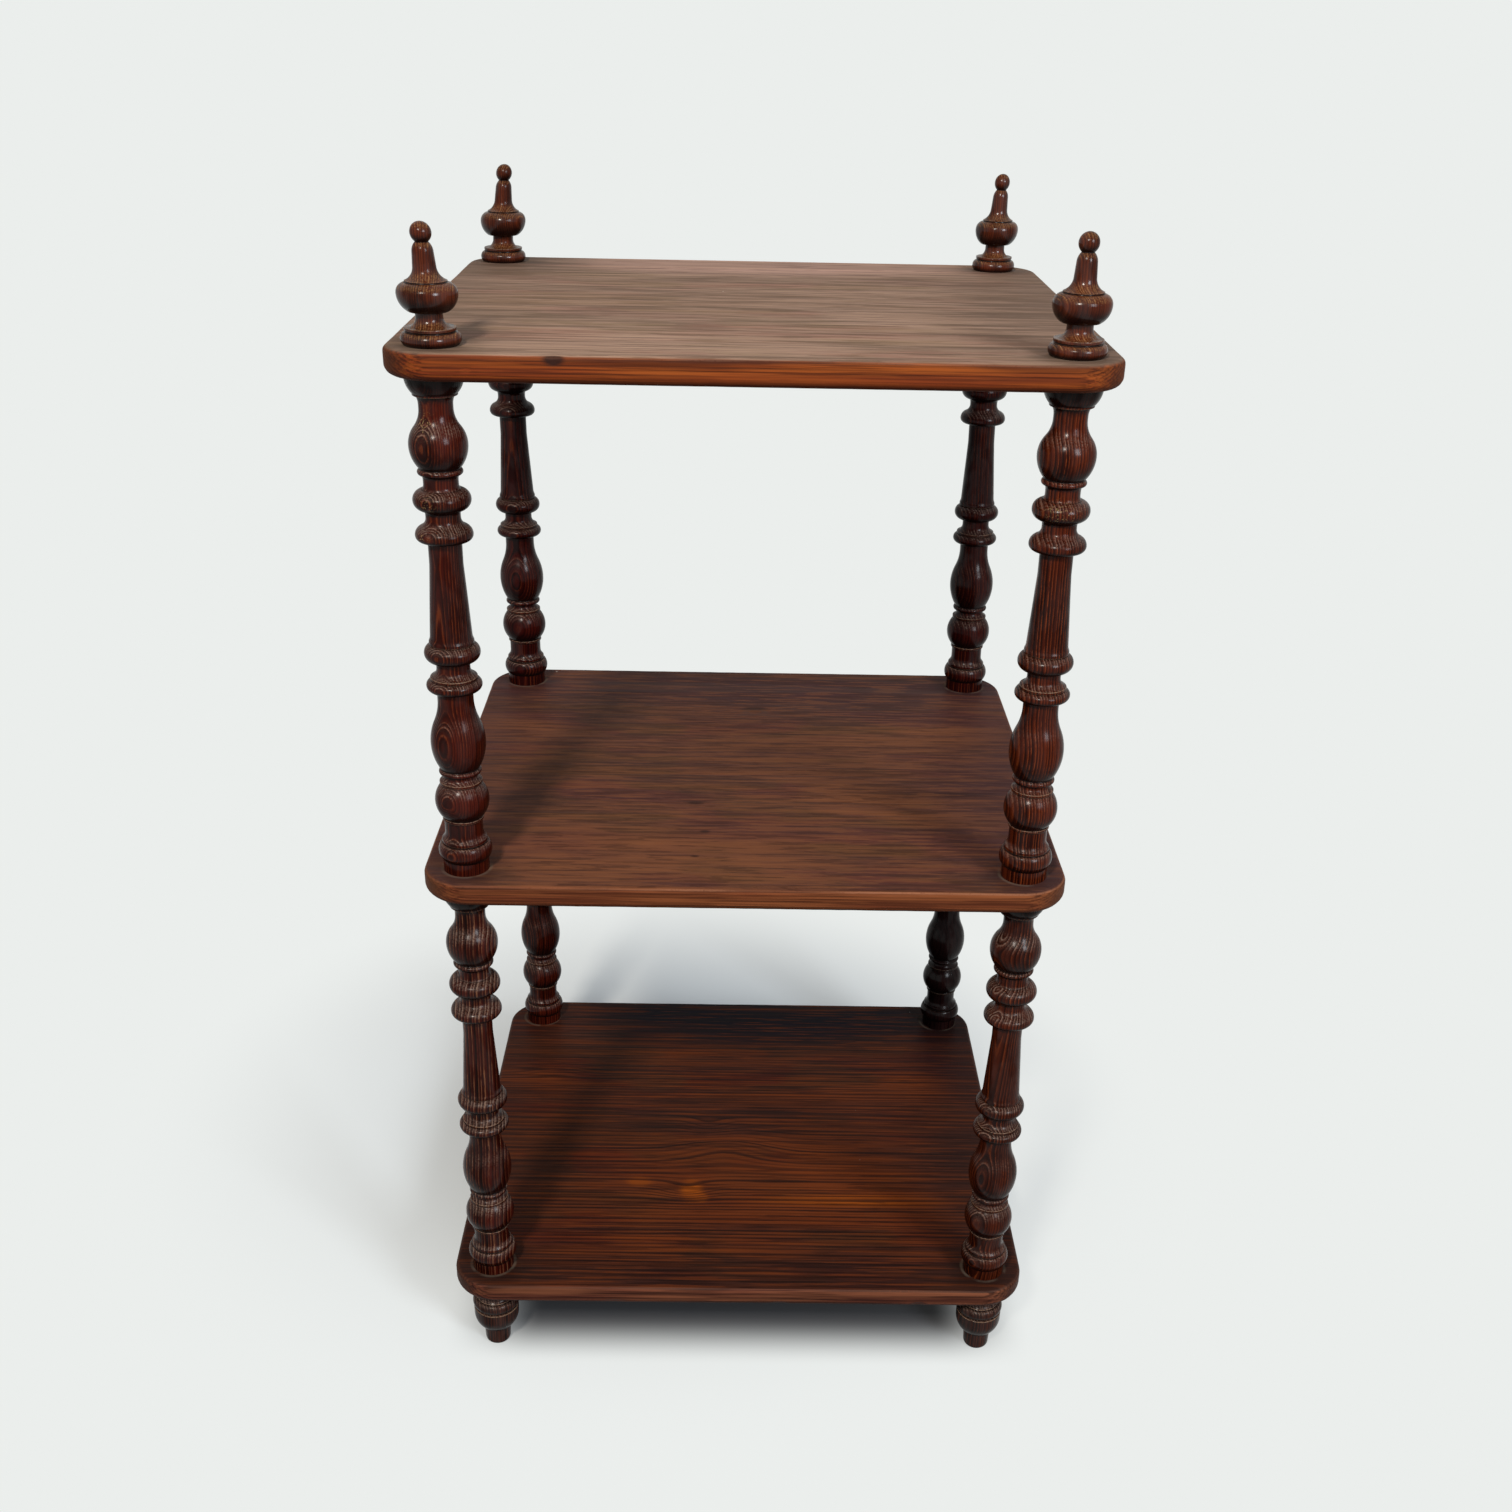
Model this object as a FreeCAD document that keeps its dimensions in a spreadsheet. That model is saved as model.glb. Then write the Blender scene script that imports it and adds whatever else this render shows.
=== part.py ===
import FreeCAD, Part
import math
import os

import Sketcher

# Three-tier etagere of turned and stained pine.
#
# Three shelves, each of two boards glued edge to edge, are held apart by turned posts.
# Every turned piece ends in a plain round spigot below its shoulder. The spigot passes
# through a hole in the shelf and is glued into a socket in the piece underneath, so that
# finial, upper post, lower post and foot clamp the shelves between their shoulders.
#
# Frame: millimetres, +Z up, the front faces -Y, the origin is on the floor at the middle
# of the plan.

FRONT, BACK = -1, 1
LEFT, RIGHT = -1, 1
CORNERS = {
    "front_left": (LEFT, FRONT),
    "front_right": (RIGHT, FRONT),
    "back_left": (LEFT, BACK),
    "back_right": (RIGHT, BACK),
}

# alias, value in millimetres, meaning
SIZES = [
    ("shelf_width", 557.0, "each shelf, left to right"),
    ("shelf_depth", 520.0, "each shelf, front to back"),
    ("shelf_thickness", 21.5, "planed board"),
    ("corner_radius", 42.0, "shelf corners in plan"),
    ("top_edge_round", 5.0, "upper arris of the shelf edge"),
    ("under_edge_round", 8.0, "lower arris of the shelf edge"),
    ("top_back_board", 166.0, "back board of the top shelf, front to back"),
    ("middle_back_board", 143.0, "back board of the middle shelf, front to back"),
    ("bottom_back_board", 208.0, "back board of the bottom shelf, front to back"),
    ("post_side_inset", 37.5, "post axis from the shelf's side edge"),
    ("post_end_inset", 36.0, "post axis from the shelf's front or back edge"),
    ("spigot_radius", 8.0, "round spigot under each turned piece"),
    ("spigot_reach", 22.0, "spigot beyond the shelf, inside the socket below"),
    ("spigot_chamfer", 1.0, "lead-in on the spigot's end"),
    ("glue_clearance", 0.1, "radial room for glue round a spigot"),
    ("socket_end_gap", 1.5, "socket floor below the spigot's end"),
    ("turning_radius", 22.8, "widest swell of every turned piece"),
    ("quirk_height", 1.2, "narrow groove beside a bead or ring"),
    ("quirk_cut", 4.4, "groove beside a wide ring, in from the widest swell"),
    ("fillet_height", 2.6, "flat narrow band above a groove"),
    ("fillet_cut", 3.5, "flat narrow band, in from the widest swell"),
    ("ring_foot_cut", 4.6, "edges of a wide ring, in from its crown"),
    # post, from its lower shoulder upwards
    ("plinth_height", 11.5, "drum that stands on the shelf"),
    ("plinth_cut", 3.2, "drum, in from the widest swell"),
    ("base_ring_height", 14.0, "ring above the drum"),
    ("base_ring_foot_cut", 2.4, "edges of the ring, in from its crown"),
    ("plinth_cove_height", 7.0, "hollow above the ring"),
    ("plinth_neck_height", 11.0, "neck under the ball"),
    ("plinth_neck_cut", 6.7, "neck under the ball"),
    ("collar_line_height", 2.4, "thin band at the foot of the ball"),
    ("collar_line_cut", 5.4, "thin band at the foot of the ball"),
    ("ball_height", 31.0, "ball bead"),
    ("ball_foot_cut", 6.4, "top and bottom of the ball"),
    ("ball_fillet_cut", 4.9, "band on top of the ball"),
    ("ball_cove_height", 5.0, "hollow above the ball"),
    ("ball_neck_height", 1.2, "neck between the ball and the vase"),
    ("ball_neck_cut", 9.0, "neck between the ball and the vase"),
    ("thin_ring_height", 4.6, "thin ring under a vase"),
    ("thin_ring_cut", 5.0, "crown of the thin ring, in from the widest swell"),
    ("thin_ring_relief", 2.0, "thin ring's crown above its own edges"),
    ("vase_foot_cut", 6.0, "foot of a vase"),
    ("lower_vase_belly_height", 22.5, "vase foot to its widest swell"),
    ("lower_vase_shoulder_height", 37.5, "widest swell to the vase's neck"),
    ("lower_vase_neck_height", 8.5, "neck above the lower vase"),
    ("lower_vase_neck_cut", 8.1, "neck above the lower vase"),
    ("wide_ring_height", 9.5, "wide ring under the middle bead"),
    ("ring_cove_height", 7.0, "hollow above the wide ring"),
    ("ring_neck_height", 6.0, "neck above the wide ring"),
    ("neck_cut", 9.1, "slim necks beside the beads"),
    ("middle_bead_height", 15.0, "bead at the foot of the column"),
    ("bead_foot_cut", 7.0, "edges of a bead, in from its crown"),
    ("bead_fillet_cut", 4.5, "band between the bead and the column"),
    ("column_cove_height", 5.0, "hollow at the foot of the column"),
    ("column_foot_cut", 5.8, "column at its foot"),
    ("column_taper_height", 58.0, "tapered part of the column"),
    ("column_head_height", 20.0, "parallel part of the column"),
    ("column_head_cut", 9.4, "column at its head"),
    ("bell_lip_cut", 2.6, "under edge of the bell ring"),
    ("bell_lip_height", 4.2, "lip of the bell ring"),
    ("bell_height", 13.6, "bell ring from its lip to the neck"),
    ("bell_neck_height", 2.2, "neck above the bell ring"),
    ("bead_cove_height", 4.0, "hollows either side of the upper bead"),
    ("bead_cove_foot_cut", 7.6, "hollow where it meets the upper bead"),
    ("upper_bead_height", 16.0, "bead between the bell and the upper vase"),
    ("upper_neck_height", 3.6, "neck above the upper bead"),
    ("upper_cove_height", 4.0, "hollow under the upper thin ring"),
    ("upper_cove_cut", 7.9, "hollow where it meets the thin ring"),
    ("upper_vase_belly_height", 17.0, "vase foot to its widest swell"),
    ("upper_vase_shoulder_height", 27.5, "widest swell to the vase's neck"),
    ("upper_vase_neck_height", 3.0, "neck above the upper vase"),
    ("upper_vase_neck_cut", 9.6, "neck above the upper vase"),
    ("head_cove_height", 7.0, "hollow under the head"),
    ("head_cove_cut", 7.7, "hollow where it meets the head"),
    ("head_band_height", 2.0, "thin band under the head"),
    ("head_band_cut", 5.4, "thin band under the head"),
    ("head_height", 13.1, "flared head under the shelf"),
    ("head_foot_cut", 4.9, "lower edge of the flared head"),
    # foot, from the floor upwards
    ("toe_height", 4.0, "rounded tip of the peg"),
    ("toe_cut", 12.6, "flat end of the peg"),
    ("peg_foot_cut", 10.4, "peg above its rounded tip"),
    ("peg_height", 15.5, "peg"),
    ("peg_head_cut", 9.7, "peg under the cup"),
    ("cup_height", 17.0, "cup"),
    ("cup_foot_cut", 8.7, "cup's lower edge"),
    ("cup_cut", 0.8, "cup at its widest"),
    ("cup_band_height", 8.0, "upright band of the cup"),
    ("foot_ring_height", 10.0, "ring above the cup"),
    ("foot_ring_foot_cut", 2.2, "edges of the ring, in from its crown"),
    ("foot_cove_height", 7.0, "hollow above the ring"),
    ("foot_neck_height", 4.0, "neck under the shelf"),
    ("foot_neck_cut", 7.4, "neck under the shelf"),
    ("foot_head_height", 6.6, "round head under the shelf"),
    ("foot_head_cut", 3.2, "round head under the shelf"),
    # finial, from its shoulder upwards
    ("finial_ring_height", 9.5, "ring that stands on the shelf"),
    ("finial_ring_foot_cut", 2.6, "edges of the ring, in from its crown"),
    ("finial_dish_height", 7.0, "hollow dish above the ring"),
    ("finial_neck_height", 4.0, "neck under the bowl"),
    ("finial_neck_cut", 12.6, "neck under the bowl"),
    ("bowl_foot_cut", 7.9, "lower edge of the bowl"),
    ("bowl_belly_height", 13.4, "bowl from its lower edge to its widest swell"),
    ("bowl_shoulder_height", 7.6, "bowl above its widest swell"),
    ("bowl_shoulder_cut", 6.0, "bowl at the groove"),
    ("bowl_quirk_cut", 7.2, "groove between the bowl and the spire"),
    ("spire_foot_cut", 6.6, "spire above the groove"),
    ("spire_cove_height", 10.2, "hollow foot of the spire"),
    ("spire_height", 10.0, "straight part of the spire"),
    ("spire_waist_cut", 14.1, "spire above its hollow foot"),
    ("spire_head_cut", 14.8, "spire under its rounded head"),
    ("spire_head_height", 7.2, "rounded head of the spire"),
    ("spire_tip_cut", 17.9, "spire under the knob"),
    ("knob_neck_radius", 4.8, "knob where it leaves the spire"),
    ("knob_relief", 3.2, "knob's swell beyond its neck"),
]

doc = FreeCAD.newDocument("etagere")
sheet = doc.addObject("Spreadsheet::Sheet", "Sizes")
for row, (alias, value, meaning) in enumerate(SIZES, start=1):
    sheet.set("A%d" % row, meaning)
    sheet.set("B%d" % row, str(value))
    sheet.setAlias("B%d" % row, alias)


class Length:
    """A sum of named sizes: its value now and the expression that keeps it."""

    def __init__(self, value, expression):
        self.value = value
        self.expression = expression

    def __add__(self, other):
        return Length(self.value + other.value, "%s + %s" % (self.expression, other.expression))

    def __sub__(self, other):
        return Length(self.value - other.value, "%s - (%s)" % (self.expression, other.expression))

    def __neg__(self):
        return Length(-self.value, "-(%s)" % self.expression)

    def half(self):
        return Length(self.value / 2, "(%s) / 2" % self.expression)


def size(alias):
    """One named size from the sheet."""
    return Length(getattr(sheet, alias), "Sizes.%s" % alias)


def cut(alias):
    """Radius left by a cut of that depth, in from the widest swell."""
    return size("turning_radius") - size(alias)


doc.recompute()
CROWN = size("turning_radius")
NOTHING = Length(0.0, "0")
H_AXIS, V_AXIS = -1, -2
ORIGIN = (-1, 1)
TOLERANCE = 0.01


# ---- outlines of turned work -------------------------------------------------------------
# An outline is a list of steps up the piece: how the surface gets to the next point, the
# rise to it and the radius there. An arc leaves or reaches the end that it names upright.

def ledge(radius):
    return [("line", None, radius)]


def band(height, radius):
    """A straight rise: a drum, a neck or a taper."""
    return [("line", height, radius)]


def arc_to_upright(height, radius):
    return [("upright_end", height, radius)]


def arc_from_upright(height, radius):
    return [("upright_start", height, radius)]


def swell(height, crown, edge):
    """Out to the crown and back to the radius that it started from."""
    return arc_to_upright(height.half(), crown) + arc_from_upright(height.half(), edge)


def bead(height, crown, edge):
    return ledge(edge) + swell(height, crown, edge)


def quirk(radius):
    return ledge(radius) + band(size("quirk_height"), radius)


def fillet(radius):
    return ledge(radius) + band(size("fillet_height"), radius)


def ogee(height, start, end):
    """A double curve that is upright at both of its ends."""
    waist = (start + end).half()
    return arc_from_upright(height.half(), waist) + arc_to_upright(height.half(), end)


def post_sections():
    """The post from shoulder to shoulder, as runs of mouldings: first radius and steps up."""
    return {
        "plinth": (
            cut("plinth_cut"),
            band(size("plinth_height"), cut("plinth_cut"))
            + bead(size("base_ring_height"), CROWN, cut("base_ring_foot_cut"))
            + quirk(cut("quirk_cut"))
            + fillet(cut("fillet_cut"))
            + arc_to_upright(size("plinth_cove_height"), cut("plinth_neck_cut"))
            + band(size("plinth_neck_height"), cut("plinth_neck_cut")),
        ),
        "ball": (
            cut("collar_line_cut"),
            band(size("collar_line_height"), cut("collar_line_cut"))
            + bead(size("ball_height"), CROWN, cut("ball_foot_cut"))
            + fillet(cut("ball_fillet_cut"))
            + arc_to_upright(size("ball_cove_height"), cut("ball_neck_cut"))
            + band(size("ball_neck_height"), cut("ball_neck_cut"))
            + thin_ring(),
        ),
        "lower_vase": (
            cut("vase_foot_cut"),
            arc_to_upright(size("lower_vase_belly_height"), CROWN)
            + ogee(size("lower_vase_shoulder_height"), CROWN, cut("lower_vase_neck_cut"))
            + band(size("lower_vase_neck_height"), cut("lower_vase_neck_cut"))
            + bead(size("wide_ring_height"), CROWN, cut("ring_foot_cut"))
            + fillet(cut("fillet_cut"))
            + arc_to_upright(size("ring_cove_height"), cut("neck_cut"))
            + band(size("ring_neck_height"), cut("neck_cut")),
        ),
        "column": (
            cut("bead_foot_cut"),
            swell(size("middle_bead_height"), CROWN, cut("bead_foot_cut"))
            + fillet(cut("bead_fillet_cut"))
            + arc_to_upright(size("column_cove_height"), cut("column_foot_cut"))
            + band(size("column_taper_height"), cut("column_head_cut"))
            + band(size("column_head_height"), cut("column_head_cut")),
        ),
        "bell": (
            cut("bell_lip_cut"),
            arc_to_upright(size("bell_lip_height"), CROWN)
            + ogee(size("bell_height"), CROWN, cut("neck_cut"))
            + band(size("bell_neck_height"), cut("neck_cut"))
            + arc_from_upright(size("bead_cove_height"), cut("bead_cove_foot_cut")),
        ),
        "upper_bead": (
            cut("bead_foot_cut"),
            swell(size("upper_bead_height"), CROWN, cut("bead_foot_cut"))
            + ledge(cut("bead_cove_foot_cut"))
            + arc_to_upright(size("bead_cove_height"), cut("neck_cut"))
            + band(size("upper_neck_height"), cut("neck_cut"))
            + arc_from_upright(size("upper_cove_height"), cut("upper_cove_cut"))
            + thin_ring(),
        ),
        "upper_vase": (
            cut("vase_foot_cut"),
            arc_to_upright(size("upper_vase_belly_height"), CROWN)
            + ogee(size("upper_vase_shoulder_height"), CROWN, cut("upper_vase_neck_cut"))
            + band(size("upper_vase_neck_height"), cut("upper_vase_neck_cut"))
            + arc_from_upright(size("head_cove_height"), cut("head_cove_cut"))
            + ledge(cut("head_band_cut"))
            + band(size("head_band_height"), cut("head_band_cut"))
            + ledge(cut("head_foot_cut"))
            + arc_to_upright(size("head_height"), CROWN),
        ),
    }


def thin_ring():
    crown = cut("thin_ring_cut")
    edge = crown - size("thin_ring_relief")
    return bead(size("thin_ring_height"), crown, edge) + band(size("quirk_height"), edge)


def foot_sections():
    """The foot from the floor to its shoulder."""
    return {
        "cup": (
            cut("toe_cut"),
            arc_to_upright(size("toe_height"), cut("peg_foot_cut"))
            + band(size("peg_height"), cut("peg_head_cut"))
            + ledge(cut("cup_foot_cut"))
            + arc_to_upright(size("cup_height"), cut("cup_cut"))
            + band(size("cup_band_height"), cut("cup_cut"))
            + quirk(cut("quirk_cut"))
            + bead(size("foot_ring_height"), CROWN, cut("foot_ring_foot_cut"))
            + quirk(cut("quirk_cut"))
            + ledge(cut("fillet_cut"))
            + arc_to_upright(size("foot_cove_height"), cut("foot_neck_cut"))
            + band(size("foot_neck_height"), cut("foot_neck_cut"))
            + ledge(cut("foot_head_cut"))
            + band(size("foot_head_height"), cut("foot_head_cut")),
        ),
    }


def finial_sections():
    """The finial from its shoulder to the neck of its knob, and the knob."""
    ring_edge = cut("finial_ring_foot_cut")
    return {
        "vase": (
            ring_edge,
            swell(size("finial_ring_height"), CROWN, ring_edge)
            + quirk(cut("quirk_cut"))
            + fillet(cut("fillet_cut"))
            + arc_to_upright(size("finial_dish_height"), cut("finial_neck_cut"))
            + band(size("finial_neck_height"), cut("finial_neck_cut"))
            + ledge(cut("bowl_foot_cut"))
            + arc_to_upright(size("bowl_belly_height"), CROWN)
            + arc_from_upright(size("bowl_shoulder_height"), cut("bowl_shoulder_cut"))
            + quirk(cut("bowl_quirk_cut")),
        ),
        "spire": (
            cut("spire_foot_cut"),
            arc_to_upright(size("spire_cove_height"), cut("spire_waist_cut"))
            + band(size("spire_height"), cut("spire_head_cut"))
            + arc_from_upright(size("spire_head_height"), cut("spire_tip_cut"))
            + ledge(size("knob_neck_radius"))
            + [("ball", None, size("knob_neck_radius") + size("knob_relief"))],
        ),
    }


def total_rise(steps):
    total = NOTHING
    for shape, rise, radius in steps:
        total = total + rise if rise else total
    return total


def length_of(sections):
    total = NOTHING
    for first, steps in sections.values():
        total = total + total_rise(steps)
    return total


# The two lengths that place the shelves follow from the outlines.
for alias, sections in (("post_length", post_sections()), ("foot_height", foot_sections())):
    row += 1
    sheet.set("A%d" % row, "all of its mouldings together")
    sheet.set("B%d" % row, "=" + length_of(sections).expression.replace("Sizes.", ""))
    sheet.setAlias("B%d" % row, alias)
doc.recompute()

SHELF_STEP = size("shelf_thickness") + size("post_length")
SPIGOT_LENGTH = size("shelf_thickness") + size("spigot_reach")
SOCKET_DEPTH = size("spigot_reach") + size("socket_end_gap")
BORE_RADIUS = size("spigot_radius") + size("glue_clearance")


# ---- bodies and sketches -----------------------------------------------------------------

def new_sketch(body, name, role):
    plane = [feature for feature in body.Origin.OriginFeatures if feature.Role == role][0]
    sketch = body.newObject("Sketcher::SketchObject", name)
    sketch.AttachmentSupport = [(plane, "")]
    sketch.MapMode = "FlatFace"
    return sketch


def constrain(sketch, joints, dimensions):
    """Adds the joints, then the dimensions, each of which follows its named sizes."""
    held = []
    for name, kind, where, length in dimensions:
        dimension = Sketcher.Constraint(kind, *where, length.value)
        dimension.Name = name
        held.append(dimension)
    sketch.addConstraint(joints + held)
    for name, kind, where, length in dimensions:
        sketch.setExpression("Constraints." + name, length.expression)


def place(feature, x, y, z):
    for way, length in (("x", x), ("y", y), ("z", z)):
        if length:
            feature.setExpression("Placement.Base." + way, length.expression)


class Outline:
    """Half of a round piece, from the lower end of its axis to the upper end."""

    def __init__(self, sketch, start, steps):
        self.sketch = sketch
        self.start = start
        self.steps = steps

    def draw(self):
        """Adds the curves, joins them end to end and closes them along the axis."""
        self.ends = []
        curves = []
        x, y = 0.0, self.start.value
        for shape, rise, radius in self.steps:
            before = FreeCAD.Vector(x, y, 0)
            x = radius.value if radius else 0.0
            y += self.rise_of(shape, rise, radius, before)
            curves.append(self.curve(shape, before, FreeCAD.Vector(x, y, 0), radius))
            if shape == "ball":
                x = 0.0
        curves.append(Part.LineSegment(FreeCAD.Vector(x, y, 0), FreeCAD.Vector(0, self.start.value, 0)))
        self.ends.append((1, 2))
        self.sketch.addGeometry(curves, False)
        constrain(self.sketch, self.joints(), self.dimensions())

    def rise_of(self, shape, rise, radius, before):
        if shape == "ball":
            return math.sqrt(radius.value ** 2 - before.x ** 2) + radius.value
        return rise.value if rise else 0.0

    def curve(self, shape, before, after, radius):
        self.ends.append((1, 2))
        if shape == "line":
            return Part.LineSegment(before, after)
        if shape == "ball":
            return self.arc(FreeCAD.Vector(0, after.y - radius.value, 0), before, FreeCAD.Vector(0, after.y, 0))
        upright, other = (before, after) if shape == "upright_start" else (after, before)
        across, along = other.x - upright.x, other.y - upright.y
        reach = (across ** 2 + along ** 2) / (2 * across)
        return self.arc(upright + FreeCAD.Vector(reach, 0, 0), before, after)

    def arc(self, centre, before, after):
        """The shorter arc round that centre; a sketch holds its arcs anticlockwise."""
        angles = [math.atan2(point.y - centre.y, point.x - centre.x) for point in (before, after)]
        turn = math.remainder(angles[1] - angles[0], 2 * math.pi)
        if turn < 0:
            self.ends[-1] = (2, 1)
            angles.reverse()
        circle = Part.Circle(centre, FreeCAD.Vector(0, 0, 1), (before - centre).Length)
        return Part.ArcOfCircle(circle, angles[0], angles[0] + abs(turn))

    def joints(self):
        joints = []
        count = len(self.ends)
        for i, (head, tail) in enumerate(self.ends):
            after = (i + 1) % count
            joints.append(Sketcher.Constraint("Coincident", i, tail, after, self.ends[after][0]))
        for i, (shape, rise, radius) in enumerate(self.steps):
            head, tail = self.ends[i]
            if shape == "line" and not rise:
                joints.append(Sketcher.Constraint("Horizontal", i))
            elif shape == "ball":
                joints.append(Sketcher.Constraint("PointOnObject", i, 3, V_AXIS))
            elif shape != "line":
                # an arc's centre is level with the end that it meets upright
                upright = head if shape == "upright_start" else tail
                joints.append(Sketcher.Constraint("Horizontal", i, 3, i, upright))
            if shape == "ball" or not radius:
                joints.append(Sketcher.Constraint("PointOnObject", i, tail, V_AXIS))
        joints.append(Sketcher.Constraint("PointOnObject", 0, self.ends[0][0], V_AXIS))
        if self.start is NOTHING:
            joints.append(Sketcher.Constraint("PointOnObject", 0, self.ends[0][0], H_AXIS))
        return joints

    def dimensions(self):
        foot = (0, self.ends[0][0])
        dimensions = []
        if self.start.value < 0:
            dimensions.append(("start", "DistanceY", foot + ORIGIN, -self.start))
        elif self.start.value > 0:
            dimensions.append(("start", "DistanceY", ORIGIN + foot, self.start))
        for i, (shape, rise, radius) in enumerate(self.steps):
            head, tail = self.ends[i]
            if rise:
                dimensions.append(("rise_%d" % i, "DistanceY", (i, head, i, tail), rise))
            if shape == "ball":
                dimensions.append(("radius_%d" % i, "Radius", (i,), radius))
            elif radius:
                dimensions.append(("radius_%d" % i, "DistanceX", ORIGIN + (i, tail), radius))
        return dimensions


# ---- turned pieces -----------------------------------------------------------------------

def round_feature(body, kind, name, start, steps):
    """Material turned round the body's axis, or cut out round it."""
    sketch = new_sketch(body, "%s_%s_outline" % (body.Name, name), "XZ_Plane")
    Outline(sketch, start, steps).draw()
    feature = body.newObject("PartDesign::" + kind, "%s_%s" % (body.Name, name))
    feature.Profile = sketch
    feature.ReferenceAxis = (sketch, ["V_Axis"])
    feature.Angle = 360


def turned_body(label, corner, height, sections):
    """A body on the post axis of that corner, made of its runs of mouldings."""
    body = doc.addObject("PartDesign::Body", label)
    start = NOTHING
    for name, (first, steps) in sections.items():
        closed = steps if steps[-1][0] == "ball" else steps + ledge(None)
        round_feature(body, "Revolution", name, start, ledge(first) + closed)
        start = start + total_rise(steps)
    side, end = CORNERS[corner]
    place(body, post_offset("shelf_width", "post_side_inset", side),
          post_offset("shelf_depth", "post_end_inset", end), height)
    return body


def add_spigot(body):
    """A round spigot with a lead-in, below the shoulder at height zero."""
    chamfer = size("spigot_chamfer")
    steps = (
        ledge(size("spigot_radius") - chamfer)
        + band(chamfer, size("spigot_radius"))
        + band(SPIGOT_LENGTH - chamfer, size("spigot_radius"))
        + ledge(None)
    )
    round_feature(body, "Revolution", "spigot", -SPIGOT_LENGTH, steps)


def cut_socket(body, shoulder):
    """A blind hole down from the upper shoulder."""
    steps = ledge(BORE_RADIUS) + band(SOCKET_DEPTH, BORE_RADIUS) + ledge(None)
    round_feature(body, "Groove", "socket", shoulder - SOCKET_DEPTH, steps)


def post_offset(extent, inset, way):
    offset = size(extent).half() - size(inset)
    return offset if way > 0 else -offset


def post(label, corner, height):
    body = turned_body(label, corner, height, post_sections())
    add_spigot(body)
    cut_socket(body, size("post_length"))
    return body


def finial(label, corner, height):
    body = turned_body(label, corner, height, finial_sections())
    add_spigot(body)
    return body


def foot(label, corner):
    body = turned_body(label, corner, None, foot_sections())
    cut_socket(body, size("foot_height"))
    return body


# ---- shelf boards ------------------------------------------------------------------------

def edges_of(feature, wanted):
    return ["Edge%d" % (i + 1) for i, edge in enumerate(feature.Shape.Edges) if wanted(edge)]


def rounding(body, base, name, alias, wanted):
    """A fillet on the wanted edges of the feature before it."""
    doc.recompute()
    rounded = body.newObject("PartDesign::Fillet", name)
    rounded.Base = (base, edges_of(base, wanted))
    rounded.setExpression("Radius", size(alias).expression)
    return rounded


def board_blank(body, label, board_depth):
    """A plank from the shelf's outer edge, at the lower side of the plan, to the glue line."""
    half_width, half_depth = size("shelf_width").half(), size("shelf_depth").half()
    left, right = -half_width.value, half_width.value
    outer = -half_depth.value
    glued = outer + board_depth.value
    corners = [FreeCAD.Vector(x, y, 0) for x, y in
               ((left, outer), (right, outer), (right, glued), (left, glued))]
    sketch = new_sketch(body, label + "_plan", "XY_Plane")
    sides = [Part.LineSegment(corners[i], corners[(i + 1) % 4]) for i in range(4)]
    sketch.addGeometry(sides, False)
    joints = [Sketcher.Constraint("Coincident", i, 2, (i + 1) % 4, 1) for i in range(4)]
    joints += [Sketcher.Constraint("Horizontal", i) for i in (0, 2)]
    joints += [Sketcher.Constraint("Vertical", i) for i in (1, 3)]
    constrain(sketch, joints, [
        ("left", "DistanceX", (0, 1) + ORIGIN, half_width),
        ("right", "DistanceX", ORIGIN + (0, 2), half_width),
        ("outer", "DistanceY", (0, 1) + ORIGIN, half_depth),
        ("board_depth", "DistanceY", (1, 1, 1, 2), board_depth),
    ])
    plank = body.newObject("PartDesign::Pad", label + "_plank")
    plank.Profile = sketch
    plank.setExpression("Length", size("shelf_thickness").expression)
    return plank


def bore_holes(body, label):
    """The two holes for the spigots at the board's outer corners."""
    sketch = new_sketch(body, label + "_holes", "XY_Plane")
    across = post_offset("shelf_width", "post_side_inset", RIGHT)
    along = post_offset("shelf_depth", "post_end_inset", BACK)
    dimensions = []
    for i, side in enumerate((LEFT, RIGHT)):
        centre = FreeCAD.Vector(side * across.value, -along.value, 0)
        sketch.addGeometry(Part.Circle(centre, FreeCAD.Vector(0, 0, 1), BORE_RADIUS.value), False)
        sideways = (i, 3) + ORIGIN if side < 0 else ORIGIN + (i, 3)
        dimensions.append(("across_%d" % i, "DistanceX", sideways, across))
        dimensions.append(("along_%d" % i, "DistanceY", (i, 3) + ORIGIN, along))
        dimensions.append(("bore_%d" % i, "Radius", (i,), BORE_RADIUS))
    constrain(sketch, [], dimensions)
    holes = body.newObject("PartDesign::Pocket", label + "_bores")
    holes.Profile = sketch
    holes.Type = "ThroughAll"
    holes.Reversed = True
    return holes


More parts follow.
